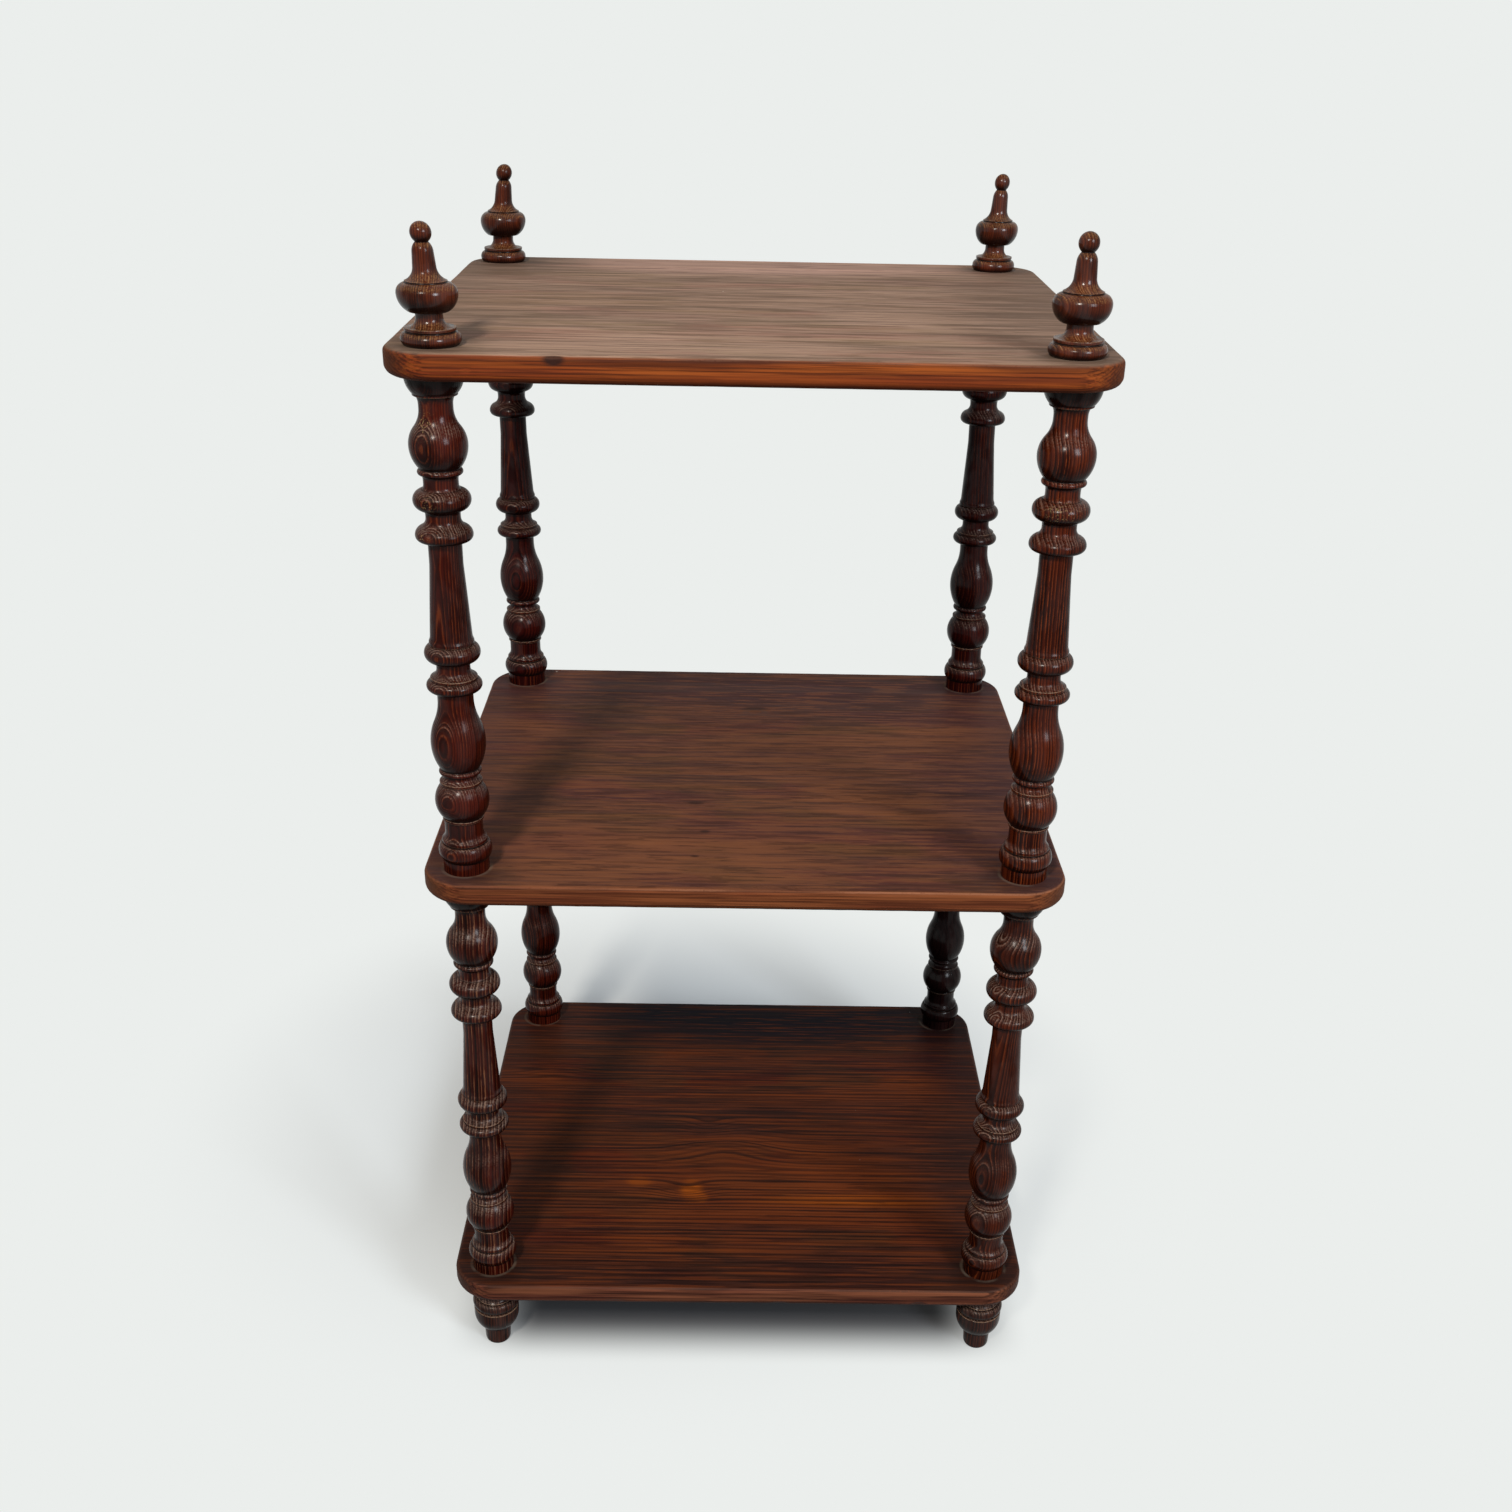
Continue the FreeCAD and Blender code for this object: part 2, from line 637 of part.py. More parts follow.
def board(label, board_depth, end, height):
    """One board of a shelf, with its outer corners and arrises rounded and its bores cut."""
    body = doc.addObject("PartDesign::Body", label)
    plank = board_blank(body, label, board_depth)
    thickness = sheet.shelf_thickness
    glue_line = board_depth.value - sheet.shelf_depth / 2

    def is_outer_corner(edge):
        low, high = edge.BoundBox.ZMin, edge.BoundBox.ZMax
        return high - low > thickness / 2 and edge.CenterOfMass.y < glue_line - TOLERANCE

    def is_arris(edge, level):
        flat = abs(edge.CenterOfMass.z - level) < TOLERANCE and edge.BoundBox.ZLength < TOLERANCE
        return flat and abs(edge.CenterOfMass.y - glue_line) > TOLERANCE

    corners = rounding(body, plank, label + "_corners", "corner_radius", is_outer_corner)
    upper = rounding(body, corners, label + "_upper_arris", "top_edge_round",
                     lambda edge: is_arris(edge, thickness))
    rounding(body, upper, label + "_lower_arris", "under_edge_round", lambda edge: is_arris(edge, 0))
    bore_holes(body, label)
    if end == BACK:
        body.Placement.Rotation = FreeCAD.Rotation(FreeCAD.Vector(0, 0, 1), 180)
    place(body, None, None, height)
    return body


# ---- the etagere -------------------------------------------------------------------------

pieces = []
underside = size("foot_height")
for level in ("bottom", "middle", "top"):
    back_depth = size(level + "_back_board")
    front_depth = size("shelf_depth") - back_depth
    pieces.append(board(level + "_shelf_front_board", front_depth, FRONT, underside))
    pieces.append(board(level + "_shelf_back_board", back_depth, BACK, underside))
    underside = underside + SHELF_STEP

bottom_level = size("foot_height") + size("shelf_thickness")
middle_level = bottom_level + SHELF_STEP
top_level = middle_level + SHELF_STEP
for corner in CORNERS:
    pieces.append(foot("foot_" + corner, corner))
    pieces.append(post("lower_post_" + corner, corner, bottom_level))
    pieces.append(post("upper_post_" + corner, corner, middle_level))
    pieces.append(finial("finial_" + corner, corner, top_level))
doc.recompute()

for thing in doc.Objects:
    if "Invalid" in thing.State or "Error" in thing.State:
        raise RuntimeError("%s failed: %s" % (thing.Name, thing.State))
for piece in pieces:
    shape = piece.Shape
    if shape.isNull() or not shape.isValid() or len(shape.Solids) != 1:
        raise RuntimeError("%s is not one valid solid" % piece.Label)

os.makedirs("parts", exist_ok=True)
for piece in pieces:
    piece.Shape.exportStep("parts/%s.step" % piece.Label)
    print("%s: %.1f cm3" % (piece.Label, piece.Shape.Volume / 1000))
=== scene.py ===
import math

import bpy
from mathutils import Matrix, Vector, noise


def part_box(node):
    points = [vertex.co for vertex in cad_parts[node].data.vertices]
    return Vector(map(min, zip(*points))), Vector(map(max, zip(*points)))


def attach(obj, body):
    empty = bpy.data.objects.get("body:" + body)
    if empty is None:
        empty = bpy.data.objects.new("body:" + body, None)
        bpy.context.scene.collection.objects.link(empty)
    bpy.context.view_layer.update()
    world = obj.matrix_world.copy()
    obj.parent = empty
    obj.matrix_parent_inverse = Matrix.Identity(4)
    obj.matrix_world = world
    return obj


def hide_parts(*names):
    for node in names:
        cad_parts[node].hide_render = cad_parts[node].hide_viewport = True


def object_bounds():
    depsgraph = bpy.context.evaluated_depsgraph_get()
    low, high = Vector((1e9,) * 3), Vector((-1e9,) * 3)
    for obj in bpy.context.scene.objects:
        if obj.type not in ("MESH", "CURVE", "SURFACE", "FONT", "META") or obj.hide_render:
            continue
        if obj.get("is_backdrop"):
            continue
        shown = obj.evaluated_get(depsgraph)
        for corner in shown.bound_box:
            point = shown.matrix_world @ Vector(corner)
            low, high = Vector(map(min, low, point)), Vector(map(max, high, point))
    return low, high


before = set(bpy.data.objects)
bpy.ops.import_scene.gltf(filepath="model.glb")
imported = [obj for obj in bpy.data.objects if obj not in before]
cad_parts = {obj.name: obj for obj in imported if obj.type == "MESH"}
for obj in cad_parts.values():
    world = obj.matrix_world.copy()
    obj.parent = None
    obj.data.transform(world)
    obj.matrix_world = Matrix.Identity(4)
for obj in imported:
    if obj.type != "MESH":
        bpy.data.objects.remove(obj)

cadLow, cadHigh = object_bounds()
mm = 0.001
front, back = -1, 1
corners = ("front_left", "front_right", "back_left", "back_right")


def fromScreen(red, green, blue):  # 0-255 as on a screen, to the linear colour that nodes take
    parts = []
    for part in (red, green, blue):
        share = part / 255
        parts.append(share / 12.92 if share <= 0.04045 else ((share + 0.055) / 1.055) ** 2.4)
    return (*parts, 1.0)


class Wire:  # one socket of a node tree, on which sums and products can be written
    def __init__(self, tree, socket=None):
        self.tree = tree
        self.socket = socket

    def node(self, kind, settings=None, inputs=None, output=0):
        made = self.tree.nodes.new(kind)
        for name, value in (settings or {}).items():
            setattr(made, name, value)
        for name, value in (inputs or {}).items():
            if isinstance(value, Wire):
                self.tree.links.new(value.socket, made.inputs[name])
            else:
                made.inputs[name].default_value = value
        return Wire(self.tree, made.outputs[output]) if len(made.outputs) else None

    def sum(self, operation, first, second):
        if self.socket.type in ("VECTOR", "RGBA"):
            values = [(part,) * 3 if isinstance(part, (int, float)) else part for part in (first, second)]
            return self.node("ShaderNodeVectorMath", {"operation": operation}, dict(enumerate(values)))
        return self.node("ShaderNodeMath", {"operation": operation}, {0: first, 1: second})

    def __add__(self, other):
        return self.sum("ADD", self, other)

    def __radd__(self, other):
        return self.sum("ADD", other, self)

    def __sub__(self, other):
        return self.sum("SUBTRACT", self, other)

    def __rsub__(self, other):
        return self.sum("SUBTRACT", other, self)

    def __mul__(self, other):
        return self.sum("MULTIPLY", self, other)

    def __rmul__(self, other):
        return self.sum("MULTIPLY", other, self)

    def __truediv__(self, other):
        return self.sum("DIVIDE", self, other)

    def __rtruediv__(self, other):
        return self.sum("DIVIDE", other, self)

    def larger(self, other):
        return self.sum("MAXIMUM", self, other)

    def alone(self, operation):  # square root, fraction, floor and other sums of one value
        return self.node("ShaderNodeMath", {"operation": operation}, {0: self})

    def part(self, axis):
        return self.node("ShaderNodeSeparateXYZ", {}, {0: self}, axis)

    def ramp(self, low, high, start=0.0, end=1.0):  # soft step from start to end
        settings = {"interpolation_type": "SMOOTHSTEP"}
        return self.node("ShaderNodeMapRange", settings, {0: self, 1: low, 2: high, 3: start, 4: end})

    def mix(self, first, second):  # self is the share of the second colour
        settings = {"data_type": "RGBA"}
        return self.node("ShaderNodeMix", settings, {0: self, 6: first, 7: second}, 2)

    def clouds(self, scales, detail=2.0, roughness=0.5, output=0):  # noise, stretched by its scales
        return self.node("ShaderNodeTexNoise", {}, {
            "Vector": self * scales, "Scale": 1.0, "Detail": detail, "Roughness": roughness}, output)

    def near(self, at, size):  # 1 at a place, fading to 0 round it
        away = (self - at) / size
        apart = self.node("ShaderNodeVectorMath", {"operation": "DOT_PRODUCT"}, {0: away, 1: away}, 1)
        return (apart * -1.0).alone("EXPONENT")


def joined(x, y, z):
    wire = next(value for value in (x, y, z) if isinstance(value, Wire))
    return wire.node("ShaderNodeCombineXYZ", {}, {0: x, 1: y, 2: z})


def newMaterial(name):
    material = bpy.data.materials.new(name)
    material.use_nodes = True
    material.node_tree.nodes.clear()
    return material, Wire(material.node_tree)


def finish(surface, kind="ShaderNodeOutputMaterial"):
    surface.node(kind, {}, {"Surface": surface})


pine = {
    "drawnOut": {"drift": 0.16, "fibre": 0.014, "patch": 0.12},  # scales along the grain, as shares
    "unevenScale": 0.37,     # runs of wide and narrow rings
    "unevenReach": 1.6,
}


def drawnOut(wood, name):
    return (wood[name], wood[name], wood[name] * pine["drawnOut"][name])


# Rings are drawn round a pith line that lies beside the piece, so that a round swell shows
# nested loops where it faces the pith and fine stripes at its sides, as sawn pine does.
def pineFigure(across, other, along, wood):
    place = joined(across, other, along)
    drift = place.clouds(drawnOut(wood, "drift"), 2.0, 0.5, 1)
    sway = wood["driftReach"] * 2
    u = across - wood["pith"][0] - along * wood["lean"][0] + (drift.part(0) - 0.5) * sway
    v = other - wood["pith"][1] - along * wood["lean"][1] + (drift.part(1) - 0.5) * sway
    reach = (u * u + v * v).alone("SQRT")
    for knot in wood["knots"]:
        reach = reach + place.near(knot["at"], knot["size"]) * knot["push"]
    turns = reach / wood["spacing"]
    uneven = turns.node("ShaderNodeTexNoise", {"noise_dimensions": "1D"}, {
        "W": turns * pine["unevenScale"], "Scale": 1.0})
    turns = turns + uneven * pine["unevenReach"]
    share = turns.alone("FRACT")
    late = share.ramp(0.42, 0.76) * share.ramp(0.93, 1.0, 1.0, 0.0)
    opened = share.ramp(0.0, 0.08) * share.ramp(0.16, 0.34, 1.0, 0.0)
    strength = turns.node("ShaderNodeTexWhiteNoise", {"noise_dimensions": "1D"}, {"W": turns.alone("FLOOR")})
    return {
        "place": place,
        "reach": reach,                              # from the pith
        "late": late * (0.4 + strength * 0.6),       # the dark, hard part of a ring
        "open": opened * (0.3 + strength * 0.7),     # the soft part that dust settles in
        "fibres": place.clouds(drawnOut(wood, "fibre"), 3.0, 0.6),
        "patches": place.clouds(drawnOut(wood, "patch"), 2.0, 0.5),
    }


turnedPine = {
    "light": fromScreen(62, 16, 8),
    "body": fromScreen(35, 7, 4),
    "line": fromScreen(9, 3, 2),
    "dust": fromScreen(122, 102, 90),
    "gleam": fromScreen(122, 56, 24),
    "worn": fromScreen(132, 104, 82),
    # the grime tone also paints shade: dirt in the hollows, and painted shade on faces that look down and at
    # the top of a post, under its shelf
    "grimeAndShade": fromScreen(11, 5, 5),
    "scratch": fromScreen(164, 132, 86),
    "spacing": 2.8 * mm,
    "drift": 22.0,
    "driftReach": 2.2 * mm,
    "fibre": 1100.0,
    "patch": 45.0,
    "speckle": (700.0, 700.0, 700.0),
    "stain": (30.0, 30.0, 16.0),
    "wholeShellac": (90.0, 90.0, 40.0),
    "gloss": 0.03,          # specular level of the bare wood
    "shellac": 0.17,        # weight of the old shellac where it is still whole
    "shellacRough": 0.2,
    "scratchCells": 240.0,
    "relief": 0.26,
    "reliefDepth": 0.4 * mm,
}


def turnedMaterial(name, axis, look):
    # axis: where the piece stands; look: its own pith, knots, colours, wear and dust
    wood = dict(turnedPine, **look)
    material, start = newMaterial(name)
    spot = start.node("ShaderNodeTexCoord", {}, {}, 3)
    x, y, z = (spot.part(i) for i in range(3))
    figure = pineFigure(x - axis[0], y - axis[1], z, wood)
    crest = start.node("ShaderNodeAttribute", {"attribute_name": "crest"}, {}, 2)
    hollow = start.node("ShaderNodeAttribute", {"attribute_name": "hollow"}, {}, 2)
    upward = start.node("ShaderNodeNewGeometry", {}, {}, 1).part(2)
    speckle = spot.clouds(wood["speckle"], 3.0, 0.65)
    stain = spot.clouds(wood["stain"], 3.0, 0.55)

    body = figure["patches"].ramp(0.36, 0.66).mix(wood["body"], wood["light"])
    body = (figure["fibres"].ramp(0.42, 0.7) * 0.45).mix(body, wood["light"])
    colour = (stain.ramp(0.46, 0.72) * 0.5).mix(body, wood["line"])
    settled = upward.ramp(0.1, 0.65) * speckle.ramp(0.32, 0.56) * (0.35 + figure["open"] * 0.65)
    pores = figure["open"] * figure["fibres"].ramp(0.36, 0.56) * stain.ramp(0.38, 0.55, 0.35, 1.0)
    dustMask = settled * wood["dustiness"]
    colour = (pores * wood["pores"]).mix(colour, wood["gleam"])
    colour = dustMask.ramp(0.0, 1.0).mix(colour, wood["dust"])
    colour = (figure["late"] * wood["contrast"] * (1.0 - dustMask * 0.7)).mix(colour, wood["line"])
    wearMask = crest.ramp(0.5, 0.9) * speckle.ramp(0.36, 0.52) * wood["wear"]
    colour = wearMask.mix(colour, wood["worn"])
    # painted shade, with real dirt in the hollows: darker in hollows, on faces that look down, and at the
    # top of a post just under its shelf
    grimeAndPaintedShade = (hollow.ramp(0.25, 0.8) * 0.85).larger(upward.ramp(-0.6, 0.0, 0.85, 0.0))
    grimeAndPaintedShade = grimeAndPaintedShade.larger(z.ramp(wood["head"] - wood["paintedShadeDepth"], wood["head"] - 5 * mm) * 0.9)
    colour = grimeAndPaintedShade.mix(colour, wood["grimeAndShade"])
    for scratched in wood["scratches"]:
        cracks = spot.node("ShaderNodeTexVoronoi", {"feature": "DISTANCE_TO_EDGE"}, {
            "Vector": spot + stain * 0.02, "Scale": wood["scratchCells"]})
        shown = spot.near(scratched["at"], scratched["size"]) * speckle.ramp(0.5, 0.6)
        colour = (cracks.ramp(0.02, 0.09, 0.7, 0.0) * shown).mix(colour, wood["scratch"])

    whole = spot.clouds(wood["wholeShellac"], 2.0, 0.5).ramp(0.4, 0.56, 0.25, 1.0)
    rough = 0.2 + figure["fibres"] * 0.12 + dustMask * 0.45 + hollow * 0.15
    height = figure["late"] * 0.7 + figure["fibres"] * 0.5 + speckle * 0.3
    relief = start.node("ShaderNodeBump", {}, {
        "Strength": wood["relief"], "Distance": wood["reliefDepth"], "Height": height})
    finish(start.node("ShaderNodeBsdfPrincipled", {}, {
        "Base Color": colour, "Roughness": rough.ramp(0.0, 1.0), "Normal": relief,
        "Specular IOR Level": wood["gloss"], "Coat Roughness": wood["shellacRough"],
        "Coat Weight": whole * (1.0 - dustMask * 0.8) * wood["shellac"]}))
    return material


# Each step of an outline says how the surface goes on, its rise and the radius that it comes to, in mm.
def ledge(radius):
    return [("line", 0.0, radius)]


def straight(height, radius):
    return [("line", height, radius)]


def curveToUpright(height, radius):
    return [("uprightEnd", height, radius)]


def curveFromUpright(height, radius):
    return [("uprightStart", height, radius)]


def swelling(height, crown, edge):
    return curveToUpright(height / 2, crown) + curveFromUpright(height / 2, edge)


def ring(height, crown, edge):
    return ledge(edge) + swelling(height, crown, edge)


def band(height, radius):
    return ledge(radius) + straight(height, radius)


def ogee(height, start, end):
    return curveFromUpright(height / 2, (start + end) / 2) + curveToUpright(height / 2, end)


crown = 22.8
postOutline = {
    "first": 19.6,
    "steps": (
        straight(11.5, 19.6) + ring(14.0, crown, 20.4) + band(1.2, 18.4) + band(2.6, 19.3)
        + curveToUpright(7.0, 16.1) + straight(11.0, 16.1)
        + band(2.4, 17.4) + ring(31.0, crown, 16.4) + band(2.6, 17.9)
        + curveToUpright(5.0, 13.8) + straight(1.2, 13.8) + ring(4.6, 17.8, 15.8) + straight(1.2, 15.8)
        + ledge(16.8) + curveToUpright(22.5, crown) + ogee(37.5, crown, 14.7) + straight(8.5, 14.7)
        + ring(9.5, crown, 18.2) + band(2.6, 19.3) + curveToUpright(7.0, 13.7) + straight(6.0, 13.7)
        + ring(15.0, crown, 15.8) + band(2.6, 18.3) + curveToUpright(5.0, 17.0)
        + straight(58.0, 13.4) + straight(20.0, 13.4)
        + ledge(20.2) + curveToUpright(4.2, crown) + ogee(13.6, crown, 13.7) + straight(2.2, 13.7)
        + curveFromUpright(4.0, 15.2) + ring(16.0, crown, 15.8) + ledge(15.2)
        + curveToUpright(4.0, 13.7) + straight(3.6, 13.7) + curveFromUpright(4.0, 14.9)
        + ring(4.6, 17.8, 15.8) + straight(1.2, 15.8)
        + ledge(16.8) + curveToUpright(17.0, crown) + ogee(27.5, crown, 13.2) + straight(3.0, 13.2)
        + curveFromUpright(7.0, 15.1) + band(2.0, 17.4) + ledge(17.9) + curveToUpright(13.1, crown)
    ),
}
footOutline = {
    "first": 10.2,
    "steps": (
        curveToUpright(4.0, 12.4) + straight(15.5, 13.1) + ledge(14.1) + curveToUpright(17.0, 22.0)
        + straight(8.0, 22.0) + band(1.2, 18.4) + ring(10.0, crown, 20.6) + band(1.2, 18.4)
        + ledge(19.3) + curveToUpright(7.0, 15.4) + straight(4.0, 15.4) + band(6.6, 19.6)
    ),
}
finialOutline = {
    "first": 20.2,
    "steps": (
        swelling(9.5, crown, 20.2) + band(1.2, 18.4) + band(2.6, 19.3)
        + curveToUpright(7.0, 10.2) + straight(4.0, 10.2)
        + ledge(14.9) + curveToUpright(13.4, crown) + curveFromUpright(7.6, 16.8) + band(1.2, 15.6)
        + ledge(16.2) + curveToUpright(10.2, 8.7) + straight(10.0, 8.0) + curveFromUpright(7.2, 4.9)
        + ledge(4.8) + [("knob", None, 8.0)]
    ),
}
turning = {
    "spacing": 0.4,        # between the points of an outline before it is thinned
    "softening": 3,        # passes that round the crisp corners, as wear and polish do
    "longestRun": 2.5,     # after thinning
    "sharpestTurn": 0.05,  # radians left between two points after thinning
    "around": 72,
    "wobble": 0.10,        # out of round, mm
    "wobbleAround": 1.3,
    "wobbleUp": 0.03,
    "bendPower": 1.5,      # a bend grows towards the top
}


def arcPoints(centre, before, after, spacing):
    radius = (before - centre).length
    first = math.atan2(before.y - centre.y, before.x - centre.x)
    last = math.atan2(after.y - centre.y, after.x - centre.x)
    turn = math.remainder(last - first, 2 * math.pi)
    count = max(2, math.ceil(abs(turn) * radius / spacing))
    angles = [first + turn * i / count for i in range(1, count + 1)]
    return [centre + Vector((math.cos(angle), math.sin(angle))) * radius for angle in angles]


def outlinePoints(outline, spacing):
    points = [Vector((outline["first"], 0.0))]
    for shape, rise, radius in outline["steps"]:
        before = points[-1].copy()
        if shape == "knob":
            lift = math.sqrt(radius ** 2 - before.x ** 2)
            centre = Vector((0.0, before.y + lift))
            points += arcPoints(centre, before, centre + Vector((0.0, radius)), spacing)
            continue
        after = Vector((radius, before.y + rise))
        if shape == "line":
            count = max(1, math.ceil((after - before).length / spacing))
            points += [before.lerp(after, i / count) for i in range(1, count + 1)]
            continue
        upright, end = (before, after) if shape == "uprightStart" else (after, before)
        across = end.x - upright.x
        reach = (end - upright).length_squared / (2 * across)
        points += arcPoints(upright + Vector((reach, 0.0)), before, after, spacing)
    return points


def softened(points, passes):
    for _ in range(passes):
        inner = [(points[i - 1] + points[i] * 2 + points[i + 1]) / 4 for i in range(1, len(points) - 1)]
        points = [points[0]] + inner + [points[-1]]
    return points


def bends(points, reach):  # how far the outline turns near each point: a crest is positive
    turns = []
    for i, point in enumerate(points):
        before = point - points[max(0, i - reach)]
        after = points[min(len(points) - 1, i + reach)] - point
        turn = 0.0
        if before.length > 0 and after.length > 0:
            turn = math.atan2(before.x * after.y - before.y * after.x, before.dot(after))
        turns.append(turn)
    return turns


def thinned(points, longestRun, sharpestTurn):  # indices of the points that the shape needs
    kept = [0]
    turned = 0.0
    for i in range(1, len(points) - 1):
        before, after = points[i] - points[i - 1], points[i + 1] - points[i]
        turned += abs(math.atan2(before.x * after.y - before.y * after.x, before.dot(after)))
        if turned > sharpestTurn or (points[i + 1] - points[kept[-1]]).length > longestRun:
            kept.append(i)
            turned = 0.0
    return kept + [len(points) - 1]


def preparedOutline(outline):
    points = softened(outlinePoints(outline, turning["spacing"]), turning["softening"])
    turns = bends(points, 3)
    kept = thinned(points, turning["longestRun"], turning["sharpestTurn"])
    return [(points[i].x, points[i].y, turns[i]) for i in kept]


def shadeSmoothly(mesh, smooth):  # flat faces keep sharp edges, so that they don't tilt their neighbours
    mesh.polygons.foreach_set("use_smooth", smooth)
    flatEdges = {key for face in mesh.polygons if not face.use_smooth for key in face.edge_keys}
    for edge in mesh.edges:
        edge.use_edge_sharp = edge.key in flatEdges


def turnedMesh(name, outline, axis, base, stance, seed):
    # stance: how far the foot and the top have come out of true in mm, and how stout and tall it is
    around = turning["around"]
    height = outline[-1][1]
    vertices, faces, crests, hollows, rings = [], [], [], [], []
    for radius, level, turn in outline:
        count = around if radius > 0.01 else 1
        rings.append((len(vertices), count))
        share = (level / height) ** turning["bendPower"]
        drift = Vector((seed, 0.0, level * turning["wobbleUp"]))
        for i in range(count):
            angle = 2 * math.pi * i / around
            ray = Vector((math.cos(angle), math.sin(angle), 0.0))
            out = noise.noise(ray * turning["wobbleAround"] + drift) * turning["wobble"]
            place = ray * (radius * stance["girth"] + (out if count > 1 else 0.0))
            place += Vector((stance["foot"] + stance["bend"] * share, 0.0, level * stance["tall"]))
            vertices.append(place * mm + Vector((axis[0], axis[1], base)))
            crests.append(max(0.0, turn))
            hollows.append(max(0.0, -turn))
    for (first, count), (nextFirst, nextCount) in zip(rings, rings[1:]):
        for i in range(around):
            j = (i + 1) % around
            if nextCount == 1:
                faces.append((first + i, first + j, nextFirst))
            else:
                faces.append((first + i, first + j, nextFirst + j, nextFirst + i))
    faces.append(tuple(reversed(range(around))))
    if rings[-1][1] > 1:
        faces.append(tuple(rings[-1][0] + i for i in range(around)))
    mesh = bpy.data.meshes.new(name)
    mesh.from_pydata(vertices, [], faces)
    shadeSmoothly(mesh, [len(face) <= 4 for face in faces])
    for attribute, values in (("crest", crests), ("hollow", hollows)):
        mesh.attributes.new(attribute, "FLOAT", "POINT").data.foreach_set("value", values)
    return mesh


def addPiece(name, mesh, material, node, slotName):
    mesh.validate()
    piece = bpy.data.objects.new(name, mesh)
    bpy.context.scene.collection.objects.link(piece)
    mesh.materials.append(material)
    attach(piece, "root")
    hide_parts(node)
    return piece


# How each turning was cut from its tree, how it has aged, and how far the painted shade under a shelf
# reaches down it. The pith and the knots are placed from the turning's own axis and the floor, and the
# scratches from the middle of the stand.
plainLook = {
    "pith": (60 * mm, 6 * mm),
    "lean": (0.0, 0.0),
    "knots": [],
    "contrast": 0.9,
    "wear": 0.6,
    "dustiness": 0.8,
    "pores": 0.4,
    "scratches": [],
    "paintedShadeDepth": 22 * mm,
}
redBrown = {"light": fromScreen(50, 10, 7), "body": fromScreen(28, 4, 4), "line": fromScreen(8, 2, 2)}
orangeBrown = {"light": fromScreen(72, 25, 10), "body": fromScreen(38, 9, 5), "line": fromScreen(10, 3, 2)}
# The look below is nearly black all over; the lower post at the back right has it.
nearBlack = {"light": fromScreen(34, 15, 13), "body": fromScreen(19, 8, 8), "line": fromScreen(7, 3, 4)}
knobBrown = {
    "light": fromScreen(78, 32, 17),
    "body": fromScreen(36, 12, 8),
    "line": fromScreen(9, 4, 3),
    # The finials' dust is golden: partly real dust, partly a painted highlight on their upward faces.
    "dust": fromScreen(142, 102, 64),
    "shellac": 0.4,
    "contrast": 0.5,
    "spacing": 1.9 * mm,
    "wear": 0.3,
}
# The feet are darker all over, and the painted shade under the bottom shelf reaches less far down them.
footLook = {
    "light": fromScreen(52, 28, 22),
    "body": fromScreen(32, 16, 13),
    "line": fromScreen(13, 6, 5),
    "paintedShadeDepth": 14 * mm,
}
looks = {
    "upper_post_front_left": {
        "pith": (-22 * mm, -54 * mm),
        "lean": (0.01, 0.03),
        "spacing": 2.0 * mm,
        "pores": 0.5,
        "contrast": 0.65,
        "knots": [
            {"at": (-9 * mm, -18 * mm, 590 * mm), "size": (7 * mm, 7 * mm, 8 * mm), "push": 6 * mm},
        ],
        "scratches": [
            {"at": (-250 * mm, -238 * mm, 916 * mm), "size": (7 * mm, 9 * mm, 9 * mm)},
            {"at": (-250 * mm, -246 * mm, 856 * mm), "size": (6 * mm, 9 * mm, 6 * mm)},
            {"at": (-257 * mm, -240 * mm, 828 * mm), "size": (8 * mm, 9 * mm, 5 * mm)},
        ]},
    "upper_post_front_right": dict(
        orangeBrown, pith=(70 * mm, -5 * mm), pores=0.9, dustiness=0.7, contrast=0.95, spacing=2.6 * mm,
        scratches=[{"at": (236 * mm, -246 * mm, 858 * mm), "size": (12 * mm, 12 * mm, 7 * mm)}]),
    "upper_post_back_left": dict(redBrown, pith=(-8 * mm, -58 * mm), lean=(0.0, 0.02), spacing=2.4 * mm),
    "upper_post_back_right": dict(redBrown, pith=(60 * mm, 10 * mm), contrast=0.7),
    "lower_post_front_left": {
        "pith": (-65 * mm, -12 * mm),
        "pores": 0.85,
        "dustiness": 1.0,
        "contrast": 0.95,
        "gleam": fromScreen(134, 88, 60),
        "driftReach": 3.0 * mm,
        "spacing": 3.3 * mm,
    },
    "lower_post_front_right": dict(
        orangeBrown, pith=(-36 * mm, -50 * mm), lean=(0.05, 0.09), pores=0.5, driftReach=4.5 * mm,
        spacing=2.6 * mm, contrast=0.8, body=fromScreen(36, 10, 5), light=fromScreen(64, 23, 10)),
    "lower_post_back_left": {"pith": (50 * mm, 10 * mm), "dustiness": 0.8},
    "lower_post_back_right": dict(nearBlack, pith=(50 * mm, 20 * mm), dustiness=0.1, pores=0.0, wear=0.2),
    "finial_front_left": {"pith": (-60 * mm, -14 * mm)},
    "finial_front_right": {"pith": (60 * mm, 14 * mm)},
    "finial_back_left": {"pith": (50 * mm, -30 * mm)},
}
straightUp = {"foot": 0.0, "bend": 0.0, "girth": 1.0, "tall": 1.0}
stances = {
    "lower_post_back_left": {"foot": 2.0, "bend": -1.0},
    "lower_post_back_right": {"foot": 2.0, "bend": -1.0},
    "upper_post_back_left": {"bend": -4.0},
    "upper_post_back_right": {"bend": -4.5},
    "finial_front_left": {"bend": -3.0, "tall": 0.98},
    "finial_front_right": {"bend": 0.5, "girth": 0.98},
    "finial_back_left": {"foot": -4.0, "bend": 5.0, "girth": 0.95},
    "finial_back_right": {"foot": -4.5, "bend": 3.0, "girth": 0.9},
}

